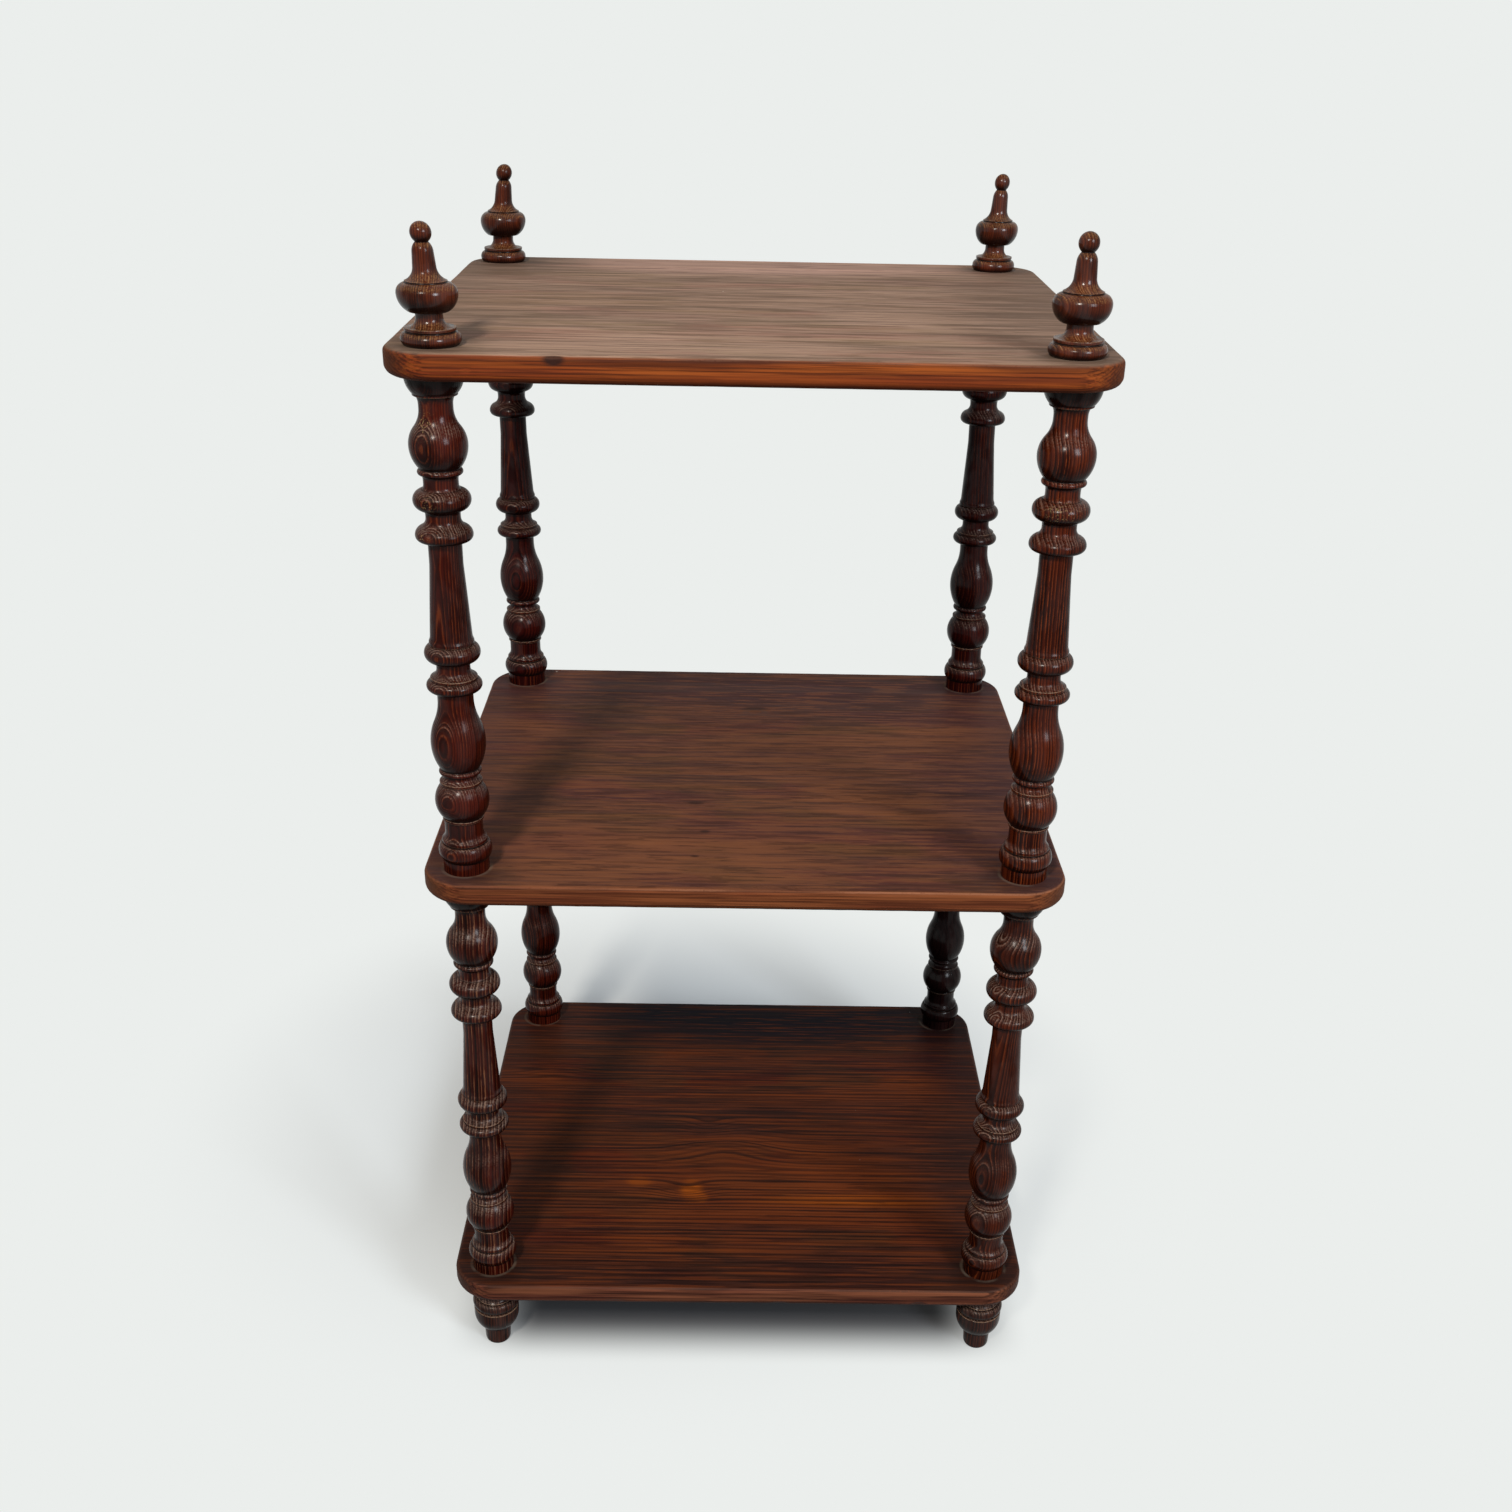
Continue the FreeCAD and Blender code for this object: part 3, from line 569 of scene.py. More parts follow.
print("turned pieces")
kinds = {"foot": footOutline, "lower_post": postOutline, "upper_post": postOutline, "finial": finialOutline}
for kindIndex, (kind, outline) in enumerate(kinds.items()):
    prepared = preparedOutline(outline)
    for cornerIndex, corner in enumerate(corners):
        node = "%s_%s" % (kind, corner)
        low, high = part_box(node)
        axis = ((low.x + high.x) / 2, (low.y + high.y) / 2)
        base = high.z - prepared[-1][1] * mm
        seed = 10.0 * kindIndex + cornerIndex
        head = 2.0 if kind == "finial" else high.z  # painted shade darkens its top, under the shelf, but not on a finial
        look = dict(plainLook, head=head, **looks.get(node, {}))
        look.update({"foot": footLook, "finial": knobBrown}.get(kind, {}))
        stance = dict(straightUp, **stances.get(node, {}))
        mesh = turnedMesh(node + "_turning", prepared, axis, base, stance, seed)
        material = turnedMaterial(node + "_pine", axis, look)
        addPiece(node + "_turning", mesh, material, node, "turned_pine")


# Sizes are in mm, and the waves and the chatter are scales of noise.
board = {
    "cornerRadius": 42.0,
    "upperRound": 5.0,
    "lowerRound": 8.0,
    "rim": 9.0,             # where the flat faces end and the edge mouldings start
    "columns": 188,
    "cornerRows": 12,
    "rowSpacing": 8.0,
    "roundSteps": 8,
    "sideSteps": 3,
    "relief": 0.16,         # hand-planed waves in the faces
    "waves": (0.006, 0.03, 0.02),
    "edgeRelief": 0.30,     # wear of the arrises
    "chatter": 0.05,
    "glueDip": 0.04,        # the worn arris at the glue line
    "glueFlat": 0.5,        # no waves as near the glue line as this
}


def boardRows(depth):  # distance of each row from the outer edge
    radius, edge = board["cornerRadius"], board["rim"]
    inner = radius - edge
    turns = [math.pi / 2 * i / board["cornerRows"] for i in range(board["cornerRows"] + 1)]
    rows = [radius - inner * math.cos(turn) for turn in turns]
    count = math.ceil((depth - radius) / board["rowSpacing"])
    return rows + [radius + (depth - radius) * i / count for i in range(1, count + 1)]


def boardEdge(thickness):  # distance in from the outline, height, and how much of an arris it is
    steps = board["roundSteps"]
    upper, lower = board["upperRound"], board["lowerRound"]
    turns = [math.pi / 2 * i / steps for i in range(steps + 1)]
    edge = []
    for t in turns:
        edge.append((upper - upper * math.sin(t), thickness - upper + upper * math.cos(t), math.sin(2 * t)))
    side = thickness - upper - lower
    count = board["sideSteps"]
    edge += [(0.0, lower + side * (1 - i / count), 0.0) for i in range(1, count)]
    edge += [(lower - lower * math.cos(t), lower - lower * math.sin(t), math.sin(2 * t)) for t in turns]
    return edge


def rowReach(distance, halfWidth):  # from the middle of the flat face to the end of a row
    radius, edge = board["cornerRadius"], board["rim"]
    if distance >= radius:
        return halfWidth - edge
    return halfWidth - radius + math.sqrt(max(0.0, (radius - edge) ** 2 - (radius - distance) ** 2))


def outward(distance, side):  # the way out from the rim of the flat face
    radius = board["cornerRadius"]
    if side == 0:
        return (0.0, -1.0)
    if distance >= radius:
        return (side, 0.0)
    down = (radius - distance) / (radius - board["rim"])
    return (side * math.sqrt(max(0.0, 1 - down ** 2)), -down)


def plane(place, point, arris, middle, seed):  # moves the place: waves in faces, arrises worn inwards
    x, y, z = point
    outside = 1 if z > middle else -1
    along, across, up = board["waves"]
    wave = noise.noise(Vector((x * along, y * across, seed + z * up)))
    scale = board["chatter"]
    chatter = noise.noise(Vector((x * scale, y * scale, seed + 5 + z * scale)))
    place.z += outside * wave * board["relief"]
    place.z -= outside * arris * board["edgeRelief"] * abs(chatter)


def nicked(place, nicks):
    for nick in nicks:
        away = Vector((place[i] - nick["at"][i]) / nick["size"][i] for i in range(3))
        if away.length < 1:
            place = place + Vector(nick["push"]) * (1 - away.length_squared) ** 2
    return place


def boardShape(halfWidth, thickness, depth, outer):  # the board as if it were the front one
    rows = boardRows(depth)
    columns = board["columns"]
    width = columns + 1
    vertices, arrises, faces = [], [], []

    def addFace(level, dip):
        first = len(vertices)
        for distance in rows:
            reach = rowReach(distance, halfWidth)
            z = level - (dip if distance == rows[-1] else 0.0)
            for column in range(width):
                vertices.append((reach * (2 * column / columns - 1), outer + distance, z))
                arrises.append(0.0)
        return first

    top = addFace(thickness, board["glueDip"])
    bottom = addFace(0.0, 0.0)
    for row in range(len(rows) - 1):
        for column in range(columns):
            a = row * width + column
            b, c, d = a + 1, a + 1 + width, a + width
            faces.append((top + a, top + b, top + c, top + d))
            faces.append((bottom + d, bottom + c, bottom + b, bottom + a))

    # the open chain round the outer edge, from the glue line at the left to the one at the right
    chain = [(row * width, rows[row], -1) for row in range(len(rows) - 1, 0, -1)]
    chain += [(column, rows[0], 0) for column in range(width)]
    chain += [(row * width + columns, rows[row], 1) for row in range(1, len(rows))]
    layers = [[top + place for place, distance, side in chain]]
    for inset, level, arris in boardEdge(thickness):
        layer = []
        for place, distance, side in chain:
            x, y, _ = vertices[top + place]
            way = outward(distance, side)
            out = board["rim"] - inset
            layer.append(len(vertices))
            vertices.append((x + way[0] * out, y + way[1] * out, level))
            arrises.append(arris)
        layers.append(layer)
    layers.append([bottom + place for place, distance, side in chain])
    for upperLayer, lowerLayer in zip(layers, layers[1:]):
        for i in range(len(chain) - 1):
            faces.append((upperLayer[i + 1], upperLayer[i], lowerLayer[i], lowerLayer[i + 1]))

    lastRow = (len(rows) - 1) * width
    glueFace = [top + lastRow + column for column in range(width)]
    glueFace += [layer[-1] for layer in layers[1:-1]]
    glueFace += [bottom + lastRow + column for column in reversed(range(width))]
    glueFace += [layer[0] for layer in reversed(layers[1:-1])]
    faces.append(tuple(reversed(glueFace)))
    return vertices, arrises, faces


def boardMesh(name, low, high, end, nicks, seed):
    halfWidth = (high.x - low.x) / 2 / mm
    thickness = (high.z - low.z) / mm
    depth = (high.y - low.y) / mm
    outer = (low.y if end == front else -high.y) / mm
    vertices, arrises, faces = boardShape(halfWidth, thickness, depth, outer)
    turn = 1 if end == front else -1
    placed = []
    for (x, y, z), arris in zip(vertices, arrises):
        place = Vector((x * turn, y * turn, z))
        if (y - outer) <= depth - board["glueFlat"]:
            plane(place, (x, y, z), arris, thickness / 2, seed)
        placed.append(nicked(place, nicks) * mm + Vector((0, 0, low.z)))
    mesh = bpy.data.meshes.new(name)
    mesh.from_pydata(placed, [], faces)
    shadeSmoothly(mesh, [len(face) == 4 for face in faces])
    mesh.attributes.new("arris", "FLOAT", "POINT").data.foreach_set("value", arrises)
    return mesh


boardPine = {
    "fibre": 700.0,
    "patch": 22.0,
    "drift": 9.0,
    "driftReach": 3.0,                     # mm, as in the cuts
    "knots": [],
    "lean": (0.0, 0.0),
    "dust": fromScreen(128, 116, 100),
    "grimeAndShade": fromScreen(24, 15, 12),
    "speck": fromScreen(225, 215, 200),
    "bruise": fromScreen(22, 12, 10),
    # the tone of the painted shadow that the middle shelf casts on the back of the bottom one
    "paintedShadow": fromScreen(17, 12, 21),
    "speckle": (500.0, 500.0, 500.0),
    "cloudy": (60.0, 60.0, 60.0),
    "grain": {                             # scales and roughness
        "broad": ((16.0, 16.0, 5.0), 0.5),
        "streaks": ((75.0, 75.0, 2.6), 0.6),
        "fine": ((230.0, 230.0, 7.0), 0.65),
    },
    "oliveScales": (21.0, 21.0, 8.0),
    "edgeHairScales": (360.0, 360.0, 8.0),
    "edgeSpacing": 2.4 * mm,
    "edgeSway": 2.0 * mm,
    "edgePatches": [],
    "redStrength": 0.8,
    "oliveStrength": 0.6,
    "layerStrength": 0.75,                 # of the rings in the edges
    "endStrength": 0.8,
    "ringDarkening": (21 * mm, 46 * mm),        # how far the darkening round a post reaches from its axis
    "ringDarkeningStrength": 0.55,
    "ringDust": (19.2 * mm, 20.4 * mm, 21.4 * mm, 23.5 * mm),
    "ringDustStrength": 0.3,
    "outerShade": (0.19, 0.33),            # where the ends of the faces darken, from the middle
    "outerSway": 0.06,
    "outerStrength": 0.5,
    "seamWidth": (0.2 * mm, 0.8 * mm),
    "speckCells": 38.0,
    "relief": 0.3,
    "reliefDepth": 0.4 * mm,
}
# The tones before edgeLight are for the faces, and those from it on for the edges and arrises.
shelfFinish = {
    "top": {
        "pale": fromScreen(178, 144, 122),
        "body": fromScreen(144, 114, 93),
        "line": fromScreen(84, 62, 48),
        "shade": fromScreen(108, 86, 72),
        "red": fromScreen(154, 112, 94),
        "olive": fromScreen(132, 108, 80),
        # a painted reflection: the back of the top shelf is paler, as if it mirrored the bright room
        "paintedReflection": fromScreen(206, 164, 146),
        "edgeLight": fromScreen(142, 71, 24),
        "edgeLine": fromScreen(50, 19, 7),
        "edgeRed": fromScreen(112, 46, 18),
        "endGrain": fromScreen(58, 32, 20),
        "arris": fromScreen(150, 108, 86),
        "arrisWearAndGlint": 0.25,
        "rough": 0.62,
        "gloss": 0.10,
        "contrast": 0.4,
        "streaks": 0.6,
        "hair": 0.42,
        "hairScales": (150.0, 150.0, 12.0),
        "seam": 0.12,
        "specks": 0.6,
    },
    "middle": {
        "pale": fromScreen(126, 77, 50),
        "body": fromScreen(96, 58, 41),
        "line": fromScreen(52, 30, 23),
        "shade": fromScreen(63, 40, 42),
        "red": fromScreen(92, 50, 42),
        "olive": fromScreen(88, 60, 36),
        "edgeLight": fromScreen(124, 70, 40),
        "edgeLine": fromScreen(54, 26, 15),
        "edgeRed": fromScreen(94, 46, 28),
        "endGrain": fromScreen(84, 52, 36),
        "arris": fromScreen(150, 98, 70),
        "arrisWearAndGlint": 0.7,
        "rough": 0.5,
        "gloss": 0.035,
        "contrast": 0.3,
        "streaks": 0.4,
        "hair": 0.45,
        "hairScales": (220.0, 220.0, 20.0),
        "seam": 0.0,
        "specks": 1.0,
    },
    "bottom": {
        "pale": fromScreen(110, 52, 23),
        "body": fromScreen(76, 37, 23),
        "line": fromScreen(20, 9, 7),
        "shade": fromScreen(46, 27, 23),
        "red": fromScreen(74, 28, 17),
        "olive": fromScreen(72, 42, 23),
        "ember": fromScreen(148, 72, 20),
        "edgeLight": fromScreen(118, 70, 48),
        "edgeLine": fromScreen(26, 13, 11),
        "edgeRed": fromScreen(80, 40, 31),
        "endGrain": fromScreen(54, 32, 24),
        "arris": fromScreen(68, 47, 39),
        "arrisWearAndGlint": 0.75,
        "rough": 0.44,
        "gloss": 0.03,
        "contrast": 0.8,
        "streaks": 0.4,
        "hair": 0.45,
        "hairScales": (230.0, 230.0, 9.0),
        "seam": 0.2,
        "specks": 0.5,
    },
}
# Places in a board are in mm: across the grain from the middle of the stand, up from the
# underside of the shelf, and along the grain. The pith has the first two. A knot has its place,
# its size and how far it pushes the rings, and a patch its tone, place, size and strength.
boardCuts = {
    "top_shelf_front_board": {
        "pith": (-150, -120), "spacing": 3.2,
        "patches": [
            ("pale", (-225, 20, -120), (40, 60, 150), 0.3),
            ("shade", (-250, 10, -147), (7, 12, 8), 0.9),
            ("shade", (-60, 20, 245), (260, 60, 90), 0.6),
        ],
        "edgePatches": [
            ("bruise", (-259, 19, -147), (9, 5, 8), 0.9),
            ("edgeLine", (-259, 19, -60), (9, 4, 90), 0.5),
            ("edgeLine", (-259, 20, 215), (9, 5, 60), 0.6),
            ("edgeRed", (-259, 5, 60), (9, 6, 150), 0.5),
        ],
    },
    "top_shelf_back_board": {
        "pith": (230, -140), "spacing": 3.0,
        "patches": [
            # painted reflection, paler towards the back
            ("paintedReflection", (225, 20, 20), (70, 60, 210), 0.75),
            ("shade", (225, 20, -240), (90, 60, 75), 0.9),
            ("shade", (110, 20, 250), (120, 60, 70), 0.4),
        ],
    },
    "middle_shelf_front_board": {
        "pith": (-170, -130), "spacing": 3.0,
        "patches": [
            ("pale", (-190, 20, -110), (60, 60, 190), 0.35),
            ("shade", (-100, 20, 250), (170, 60, 90), 0.6),
            ("bruise", (-149, 20, -37), (3, 9, 5), 0.7),
            ("bruise", (-88, 20, -47), (4, 9, 8), 0.7),
            ("bruise", (-62, 20, 185), (7, 9, 60), 0.5),
            ("bruise", (-198, 20, -45), (2, 9, 4), 0.7),
        ],
    },
    "middle_shelf_back_board": {
        "pith": (210, -130), "spacing": 2.8,
        "knots": [
            ((146, 20, 10), (14, 14, 30), 9),
        ],
        "patches": [
            # painted shade along the back, where the top shelf's shadow falls
            ("shade", (225, 20, 60), (100, 60, 340), 0.75),
            ("bruise", (146, 20, 10), (8, 9, 14), 0.7),
        ],
    },
    "bottom_shelf_front_board": {
        "pith": (150, -190), "lean": (0.01, 0.02), "spacing": 4.6, "driftReach": 5.0,
        "knots": [
            ((-36, 20, -15), (30, 30, 52), 13),
            ((2, 20, -34), (18, 20, 24), -8),
            ((-110, 20, -55), (18, 20, 26), -8),
        ],
        "patches": [
            ("pale", (-90, 20, 0), (70, 60, 150), 0.5),
            ("shade", (-236, 20, 0), (30, 60, 420), 0.7),
            ("shade", (-90, 20, 262), (150, 60, 85), 0.8),
            ("ember", (-110, 20, -50), (18, 20, 12), 1.0),
            ("ember", (-121, 20, -40), (8, 20, 9), 0.9),
            ("ember", (-124, 20, 115), (10, 20, 100), 1.0),
            ("ember", (-96, 20, -105), (8, 20, 14), 0.5),
            ("shade", (20, 20, 0), (34, 20, 210), 0.45),
            ("pale", (-150, 20, 60), (20, 60, 190), 0.6),
            ("shade", (-172, 20, -20), (10, 20, 160), 0.6),
        ],
        "edgePatches": [
            ("edgeLight", (-259, 17, -190), (9, 5, 50), 0.5),
            ("edgeLine", (-259, 3, 60), (9, 5, 110), 0.7),
        ],
    },
    "bottom_shelf_back_board": {
        "pith": (330, -150), "spacing": 4.2, "driftReach": 4.0,
        "knots": [
            ((108, 20, -215), (12, 14, 40), 8),
        ],
        "patches": [
            ("edgeLight", (225, 20, -190), (60, 60, 55), 0.4),
            # painted shadow of the middle shelf along the back
            ("paintedShadow", (240, 20, 40), (80, 60, 300), 1.0),
            ("paintedShadow", (170, 20, 262), (120, 60, 60), 0.7),
            ("bruise", (108, 20, -180), (5, 9, 34), 0.8),
            ("bruise", (110, 20, -240), (3, 9, 20), 0.8),
        ],
    },
}


def postRings(x, y):  # distance from the nearest post's axis, for the dust round its base
    low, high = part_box("upper_post_front_right")
    across = x.alone("ABSOLUTE") - (low.x + high.x) / 2
    along = y.alone("ABSOLUTE") + (low.y + high.y) / 2
    return (across * across + along * along).alone("SQRT")


def boardWood(level, cut):  # the finish and the cut of a board together, in metres
    wood = dict(boardPine, **dict(shelfFinish[level], **cut))
    wood["pith"] = tuple(side * mm for side in wood["pith"])
    wood["spacing"] *= mm
    wood["driftReach"] *= mm
    wood["knots"] = [{"at": Vector(at) * mm, "size": Vector(size) * mm, "push": push * mm}
                     for at, size, push in wood["knots"]]
    for patches in ("patches", "edgePatches"):
        wood[patches] = [(tone, Vector(at) * mm, Vector(size) * mm, strength)
                         for tone, at, size, strength in wood[patches]]
    return wood


def boardFace(figure, grain, wood):
    place, streaks, fine = figure["place"], grain["streaks"], grain["fine"]
    hair = place.clouds(wood["hairScales"], 3.0, 0.6)
    olive = place.clouds(wood["oliveScales"], 2.0, 0.5).ramp(0.5, 0.62)
    face = figure["patches"].ramp(0.4, 0.62).mix(wood["body"], wood["pale"])
    face = (grain["broad"].ramp(0.48, 0.6) * wood["redStrength"]).mix(face, wood["red"])
    face = (olive * wood["oliveStrength"]).mix(face, wood["olive"])
    face = (streaks.ramp(0.45, 0.57) * wood["streaks"]).mix(face, wood["shade"])
    face = (fine.ramp(0.44, 0.62) * wood["streaks"] * 0.5).mix(face, wood["pale"])
    face = (fine.ramp(0.36, 0.5, 1.0, 0.0) * wood["streaks"] * 0.5).mix(face, wood["shade"])
    for tone, at, size, strength in wood["patches"]:
        shown = place.near(at, size).ramp(0.1, 0.8) * strength
        face = (shown * streaks.ramp(0.3, 0.5, 0.6, 1.0)).mix(face, wood[tone])
    face = (hair.ramp(0.53, 0.58) * wood["hair"]).mix(face, wood["pale"])
    face = (hair.ramp(0.42, 0.46, 1.0, 0.0) * wood["hair"]).mix(face, wood["line"])
    face = (figure["late"] * wood["contrast"]).mix(face, wood["line"])
    return (figure["fibres"].ramp(0.52, 0.7) * 0.35).mix(face, wood["line"])


def boardSide(figure, grain, sideways, wood):
    place, fine = figure["place"], grain["fine"]
    hair = place.clouds(wood["edgeHairScales"], 2.0, 0.5)
    layers = ((figure["reach"] + fine * wood["edgeSway"]) / wood["edgeSpacing"]).alone("FRACT")
    layers = layers.ramp(0.4, 0.65) * layers.ramp(0.9, 1.0, 1.0, 0.0)
    layers = layers * grain["streaks"].ramp(0.3, 0.5, 0.5, 1.0)
    side = figure["patches"].ramp(0.36, 0.62).mix(wood["edgeLight"], wood["edgeRed"])
    side = (layers * wood["layerStrength"]).mix(side, wood["edgeLine"])
    side = (hair.ramp(0.4, 0.47, 1.0, 0.0) * 0.45).mix(side, wood["edgeLine"])
    side = (hair.ramp(0.55, 0.6) * 0.4).mix(side, wood["edgeLight"])
    side = (figure["fibres"].ramp(0.48, 0.66) * 0.6).mix(side, wood["edgeLine"])
    side = (fine.ramp(0.5, 0.6) * 0.3).mix(side, wood["edgeLight"])
    ends = sideways.ramp(0.25, 0.8) * grain["broad"].ramp(0.3, 0.6, 1.0, 0.6)
    side = (ends * wood["endStrength"]).mix(side, wood["endGrain"])
    for tone, at, size, strength in wood["edgePatches"]:
        side = (place.near(at, size).ramp(0.1, 0.7) * strength).mix(side, wood[tone])
    return side


def boardMaterial(name, level, cut, glueLine):
    wood = boardWood(level, cut)
    material, start = newMaterial(name)
    spot = start.node("ShaderNodeTexCoord", {}, {}, 3)
    x, y, z = (spot.part(i) for i in range(3))
    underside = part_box(level + "_shelf_front_board")[0].z
    figure = pineFigure(y, z - underside, x, wood)  # the grain runs along x
    arris = start.node("ShaderNodeAttribute", {"attribute_name": "arris"}, {}, 2)
    facing = start.node("ShaderNodeNewGeometry", {}, {}, 1)
    upward = facing.part(2)
    flat = upward.ramp(0.6, 0.9)
    speckle = spot.clouds(wood["speckle"], 3.0, 0.65)
    grain = {kind: figure["place"].clouds(scales, 3.0, roughness)
             for kind, (scales, roughness) in wood["grain"].items()}
    side = boardSide(figure, grain, facing.part(0).alone("ABSOLUTE"), wood)
    colour = upward.ramp(0.7, 0.96).mix(side, boardFace(figure, grain, wood))

    # The upper arrises are paler: partly wear, partly a painted highlight where the light catches the
    # rounded edge.
    worn = arris.ramp(0.86, 0.99) * upward.ramp(0.1, 0.6) * grain["broad"].ramp(0.42, 0.58, 0.3, 1.0)
    colour = (worn * speckle.ramp(0.3, 0.48, 0.5, 1.0) * wood["arrisWearAndGlint"]).mix(colour, wood["arris"])
    # painted shade: faces that look down are darkened towards the edges' line tone
    colour = upward.ramp(-0.8, -0.2, 0.8, 0.0).mix(colour, wood["edgeLine"])
    around = postRings(x, y)
    # the shelf darkens round the foot of each post
    darkening = around.ramp(*wood["ringDarkening"], wood["ringDarkeningStrength"], 0.0) * flat
    colour = (darkening * grain["streaks"].ramp(0.3, 0.6)).mix(colour, wood["grimeAndShade"])
    rising, risen, falling, fallen = wood["ringDust"]
    crescent = around.ramp(rising, risen) * around.ramp(falling, fallen, 1.0, 0.0)
    dust = crescent * flat * spot.clouds(wood["cloudy"], 2.0, 0.5).ramp(0.36, 0.56)
    colour = (dust * wood["ringDustStrength"]).mix(colour, wood["dust"])
    outer = x.alone("ABSOLUTE") + grain["streaks"] * wood["outerSway"]
    outer = outer.ramp(*wood["outerShade"]) * flat
    colour = (outer * wood["outerStrength"]).mix(colour, wood["shade"])
    seam = (y - glueLine).alone("ABSOLUTE").ramp(*wood["seamWidth"], 1.0, 0.0)
    colour = (seam * wood["seam"]).mix(colour, wood["grimeAndShade"])
    cells = {"Vector": spot, "Scale": wood["speckCells"]}
    chance = spot.node("ShaderNodeTexVoronoi", {}, cells, 1).part(0)
    specks = spot.node("ShaderNodeTexVoronoi", {}, cells).ramp(0.02, 0.04, 1.0, 0.0)
    specks = specks * chance.ramp(0.93, 0.95)
    colour = (specks * flat * wood["specks"]).mix(colour, wood["speck"])

    rough = wood["rough"] + figure["fibres"] * 0.14 + dust * 0.2 - figure["late"] * 0.08
    height = figure["late"] * 0.5 + figure["fibres"] * 0.6 + speckle * 0.2
    relief = start.node("ShaderNodeBump", {}, {
        "Strength": wood["relief"], "Distance": wood["reliefDepth"], "Height": height})
    finish(start.node("ShaderNodeBsdfPrincipled", {}, {
        "Base Color": colour, "Roughness": rough.ramp(0.0, 1.0), "Normal": relief,
        "Specular IOR Level": wood["gloss"]}))
    return material


# In mm, with heights from the underside of the shelf. The push is how far the edge has gone in.
shelfNicks = {
    "top_shelf_front_board": [
        {"at": (-147.0, -259.0, 18.0), "size": (8.0, 4.0, 4.0), "push": (0.0, 0.7, -0.7)},
        {"at": (-211.0, -260.0, 10.0), "size": (5.0, 3.0, 4.0), "push": (0.0, 0.6, 0.0)},
    ],
    "bottom_shelf_front_board": [
        {"at": (-120.0, -260.0, 4.0), "size": (16.0, 5.0, 4.0), "push": (0.0, 0.8, 0.9)},
        {"at": (40.0, -260.0, 3.0), "size": (12.0, 5.0, 4.0), "push": (0.0, 0.9, 1.0)},
        {"at": (175.0, -260.0, 4.0), "size": (10.0, 5.0, 5.0), "push": (0.0, 1.2, 0.8)},
    ],
}

print("shelves")
for levelIndex, level in enumerate(shelfFinish):
    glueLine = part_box(level + "_shelf_back_board")[0].y
    for end, half in ((front, "front"), (back, "back")):
        node = "%s_shelf_%s_board" % (level, half)
        low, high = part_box(node)
        seed = 3.7 * levelIndex + end
        mesh = boardMesh(node + "_plank", low, high, end, shelfNicks.get(node, []), seed)
        material = boardMaterial(node + "_pine", level, boardCuts[node], glueLine)
        addPiece(node + "_plank", mesh, material, node, level + "_shelf_pine")


studio = {
    "paper": (0.831, 0.855, 0.839, 1.0),
    "floorPaint": (0.87, 0.89, 0.88, 1.0),
    "floorBounce": (0.22, 0.22, 0.22, 1.0),   # what the floor throws back onto the wood
    "floorReach": 12.0,
    "fadeCentre": (-0.10, 0.15, 0.0),   # round it the floor's shadows fade out into the plain paper
    "fadeStart": 0.15,
    "fadeEnd": 0.63,
    # a painted shadow on the floor under the stand: its tone, where it ends, and its strength
    "standShadowPaint": (0.05, 0.05, 0.055, 1.0),
    "underAcross": (0.2, 0.3),          # where that shade ends to the sides
    "underAlong": (0.193, 0.262),       # and to the front and back
    "underStrength": 0.97,
    "skyWay": (0.0, -0.45, 0.89),       # the soft light is brightest from there
    "skyFade": (-0.3, 0.9),
    "skylight": (0.26, 0.285, 0.32, 1.0),      # from above and in front
    "backlight": (0.055, 0.06, 0.07, 1.0),     # from below and behind
    "lamps": {
        "key": {
            "at": (-0.90, -2.87, 3.05),
            "size": (0.40, 0.40),
            "power": 105.0,
            "colour": (1.0, 0.94, 0.85),
        },
        "window": {
            "at": (2.0, -2.7, 2.2),
            "size": (0.9, 1.2),
            "power": 92.0,
            "colour": (0.86, 0.93, 1.0),
        },
    },
}
cameraRig = {
    "sensorWidth": 36.0,
    "lens": 39.869,
    "shiftUp": 0.070,
    "place": (-0.0104, -1.5104, 1.2044),
    "turn": (62.771, -1.074, -0.299),   # degrees
}


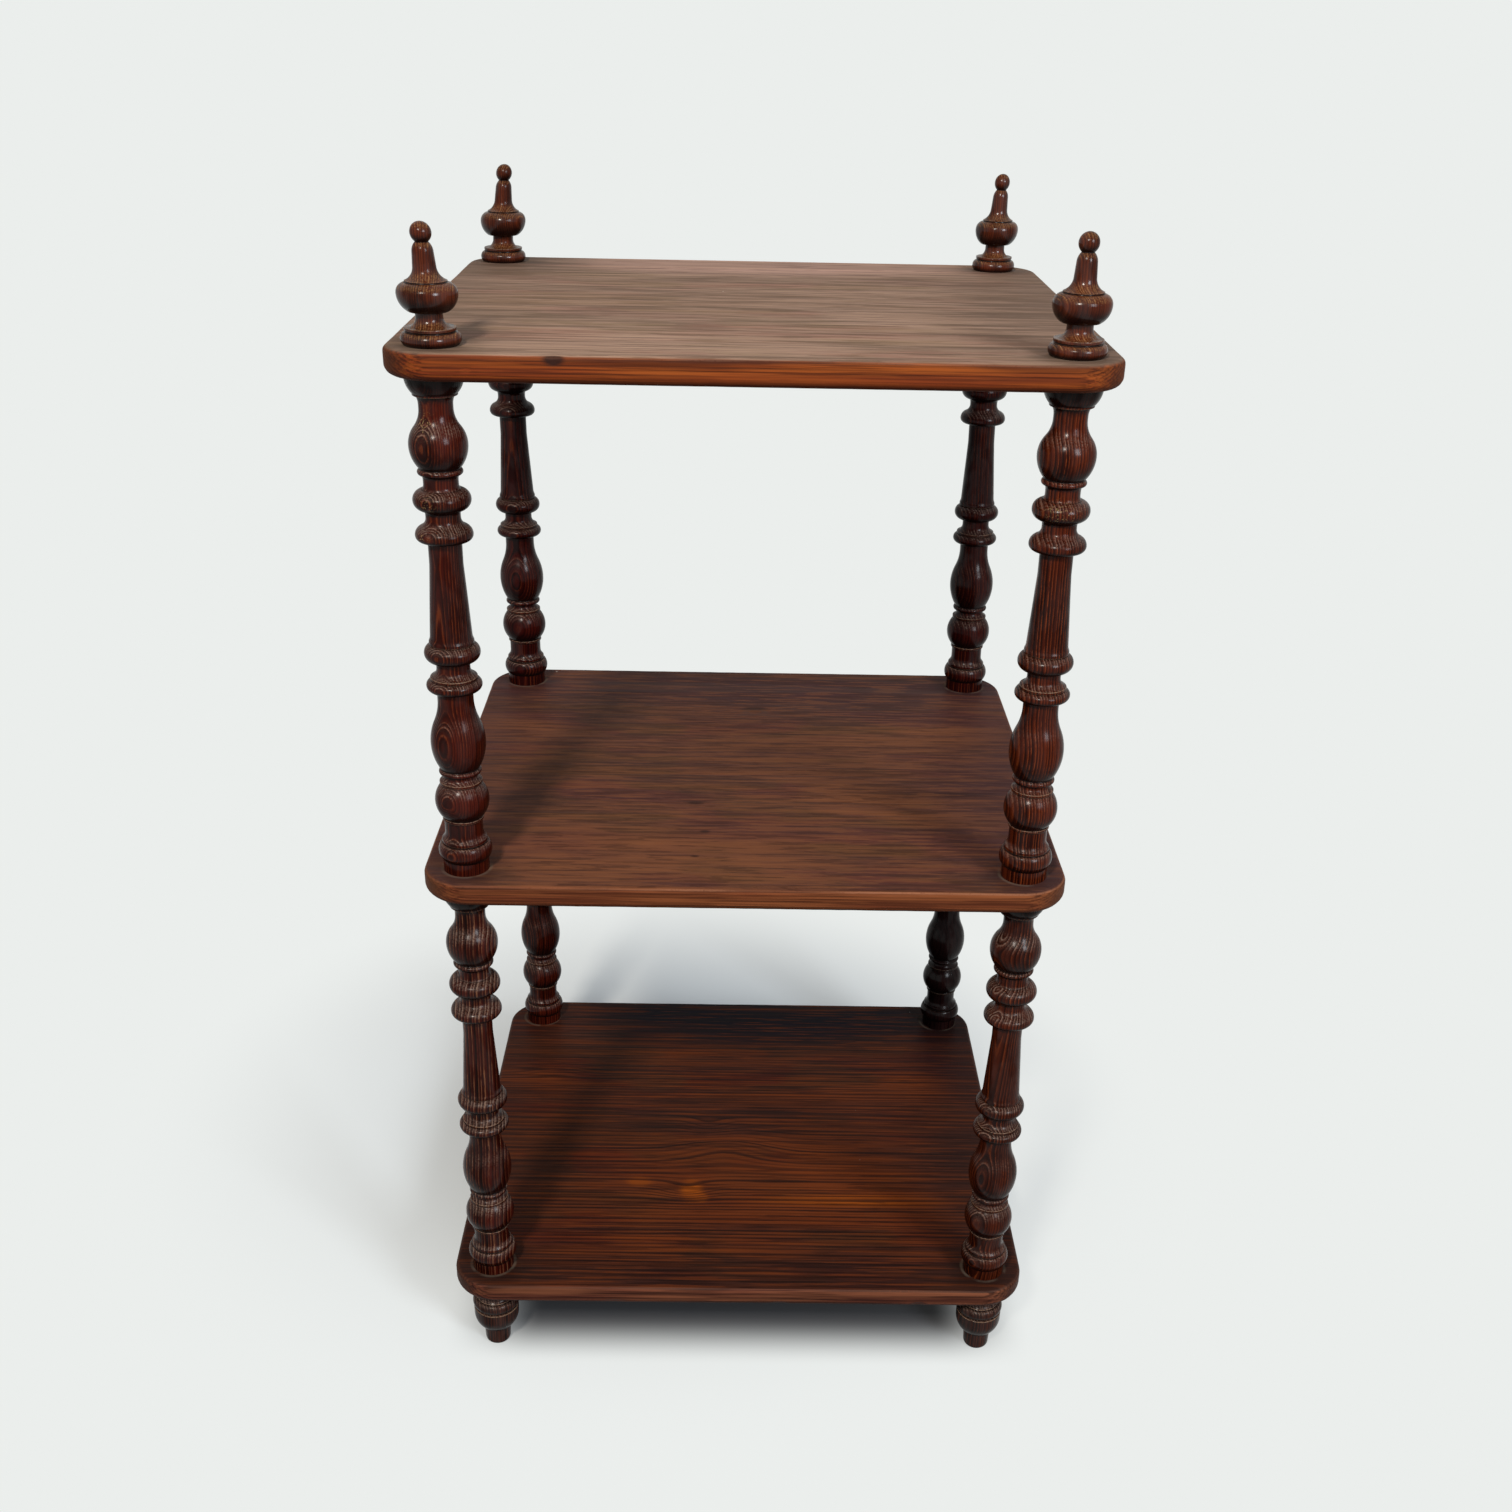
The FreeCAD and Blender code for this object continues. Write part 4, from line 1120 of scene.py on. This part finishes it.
def addFloor():
    reach = studio["floorReach"]
    mesh = bpy.data.meshes.new("floor")
    mesh.from_pydata([(-reach, -reach, 0), (reach, -reach, 0), (reach, reach, 0), (-reach, reach, 0)], [],
                     [(0, 1, 2, 3)])
    floor = bpy.data.objects.new("floor", mesh)
    bpy.context.scene.collection.objects.link(floor)
    material, start = newMaterial("floor_paper")
    spot = start.node("ShaderNodeTexCoord", {}, {}, 3)
    away = spot.node("ShaderNodeVectorMath", {"operation": "LENGTH"}, {0: spot - studio["fadeCentre"]}, 1)
    matt = start.node("ShaderNodeBsdfDiffuse", {}, {"Color": studio["floorPaint"]})
    shadowSheet = start.node("ShaderNodeBsdfDiffuse", {}, {"Color": studio["standShadowPaint"]})
    bounce = start.node("ShaderNodeBsdfDiffuse", {}, {"Color": studio["floorBounce"]})
    plain = start.node("ShaderNodeEmission", {}, {"Color": studio["paper"]})
    seen = seenRays(start)
    # painted shadow: the floor is darkened well inside the stand's outline, where the light hardly reaches
    shadowShare = spot.part(0).alone("ABSOLUTE").ramp(*studio["underAcross"], studio["underStrength"], 0.0)
    shadowShare = shadowShare * spot.part(1).alone("ABSOLUTE").ramp(*studio["underAlong"], 1.0, 0.0)
    surface = start.node("ShaderNodeMixShader", {}, {
        0: away.ramp(studio["fadeStart"], studio["fadeEnd"]), 1: matt, 2: plain})
    surface = start.node("ShaderNodeMixShader", {}, {0: shadowShare, 1: surface, 2: shadowSheet})
    finish(start.node("ShaderNodeMixShader", {}, {0: seen, 1: bounce, 2: surface}))
    mesh.materials.append(material)
    floor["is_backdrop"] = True


def seenRays(start):  # 1 for what the camera sees, also through or in a glossy surface
    path = [start.node("ShaderNodeLightPath", {}, {}, name) for name in
            ("Is Camera Ray", "Is Glossy Ray", "Is Transmission Ray")]
    return path[0].larger(path[1]).larger(path[2])


def addWorld():
    world = bpy.data.worlds.new("studio")
    world.use_nodes = True
    world.node_tree.nodes.clear()
    start = Wire(world.node_tree)
    way = start.node("ShaderNodeTexCoord", {}, {}, 0)
    facing = way.node("ShaderNodeVectorMath", {"operation": "DOT_PRODUCT"}, {0: way, 1: studio["skyWay"]}, 1)
    ambient = facing.ramp(*studio["skyFade"]).mix(studio["backlight"], studio["skylight"])
    colour = seenRays(start).mix(ambient, studio["paper"])
    finish(start.node("ShaderNodeBackground", {}, {"Color": colour}), "ShaderNodeOutputWorld")
    bpy.context.scene.world = world


def addLamps():
    aim = Vector((0.0, 0.0, (cadLow.z + cadHigh.z) / 2))
    for name, lamp in studio["lamps"].items():
        light = bpy.data.lights.new(name, "AREA")
        light.shape = "RECTANGLE"
        light.size, light.size_y = lamp["size"]
        light.energy = lamp["power"]
        light.color = lamp["colour"]
        holder = bpy.data.objects.new(name, light)
        holder.location = lamp["at"]
        holder.rotation_euler = (aim - Vector(lamp["at"])).to_track_quat("-Z", "Y").to_euler()
        bpy.context.scene.collection.objects.link(holder)


def addCamera():
    lens = bpy.data.cameras.new("camera")
    lens.sensor_width = cameraRig["sensorWidth"]
    lens.lens = cameraRig["lens"]
    lens.shift_y = cameraRig["shiftUp"]
    holder = bpy.data.objects.new("camera", lens)
    holder.location = cameraRig["place"]
    holder.rotation_euler = [math.radians(angle) for angle in cameraRig["turn"]]
    bpy.context.scene.collection.objects.link(holder)
    bpy.context.scene.camera = holder


print("studio")
addFloor()
addWorld()
addLamps()
addCamera()
bpy.context.scene.view_settings.view_transform = "Standard"

low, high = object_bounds()
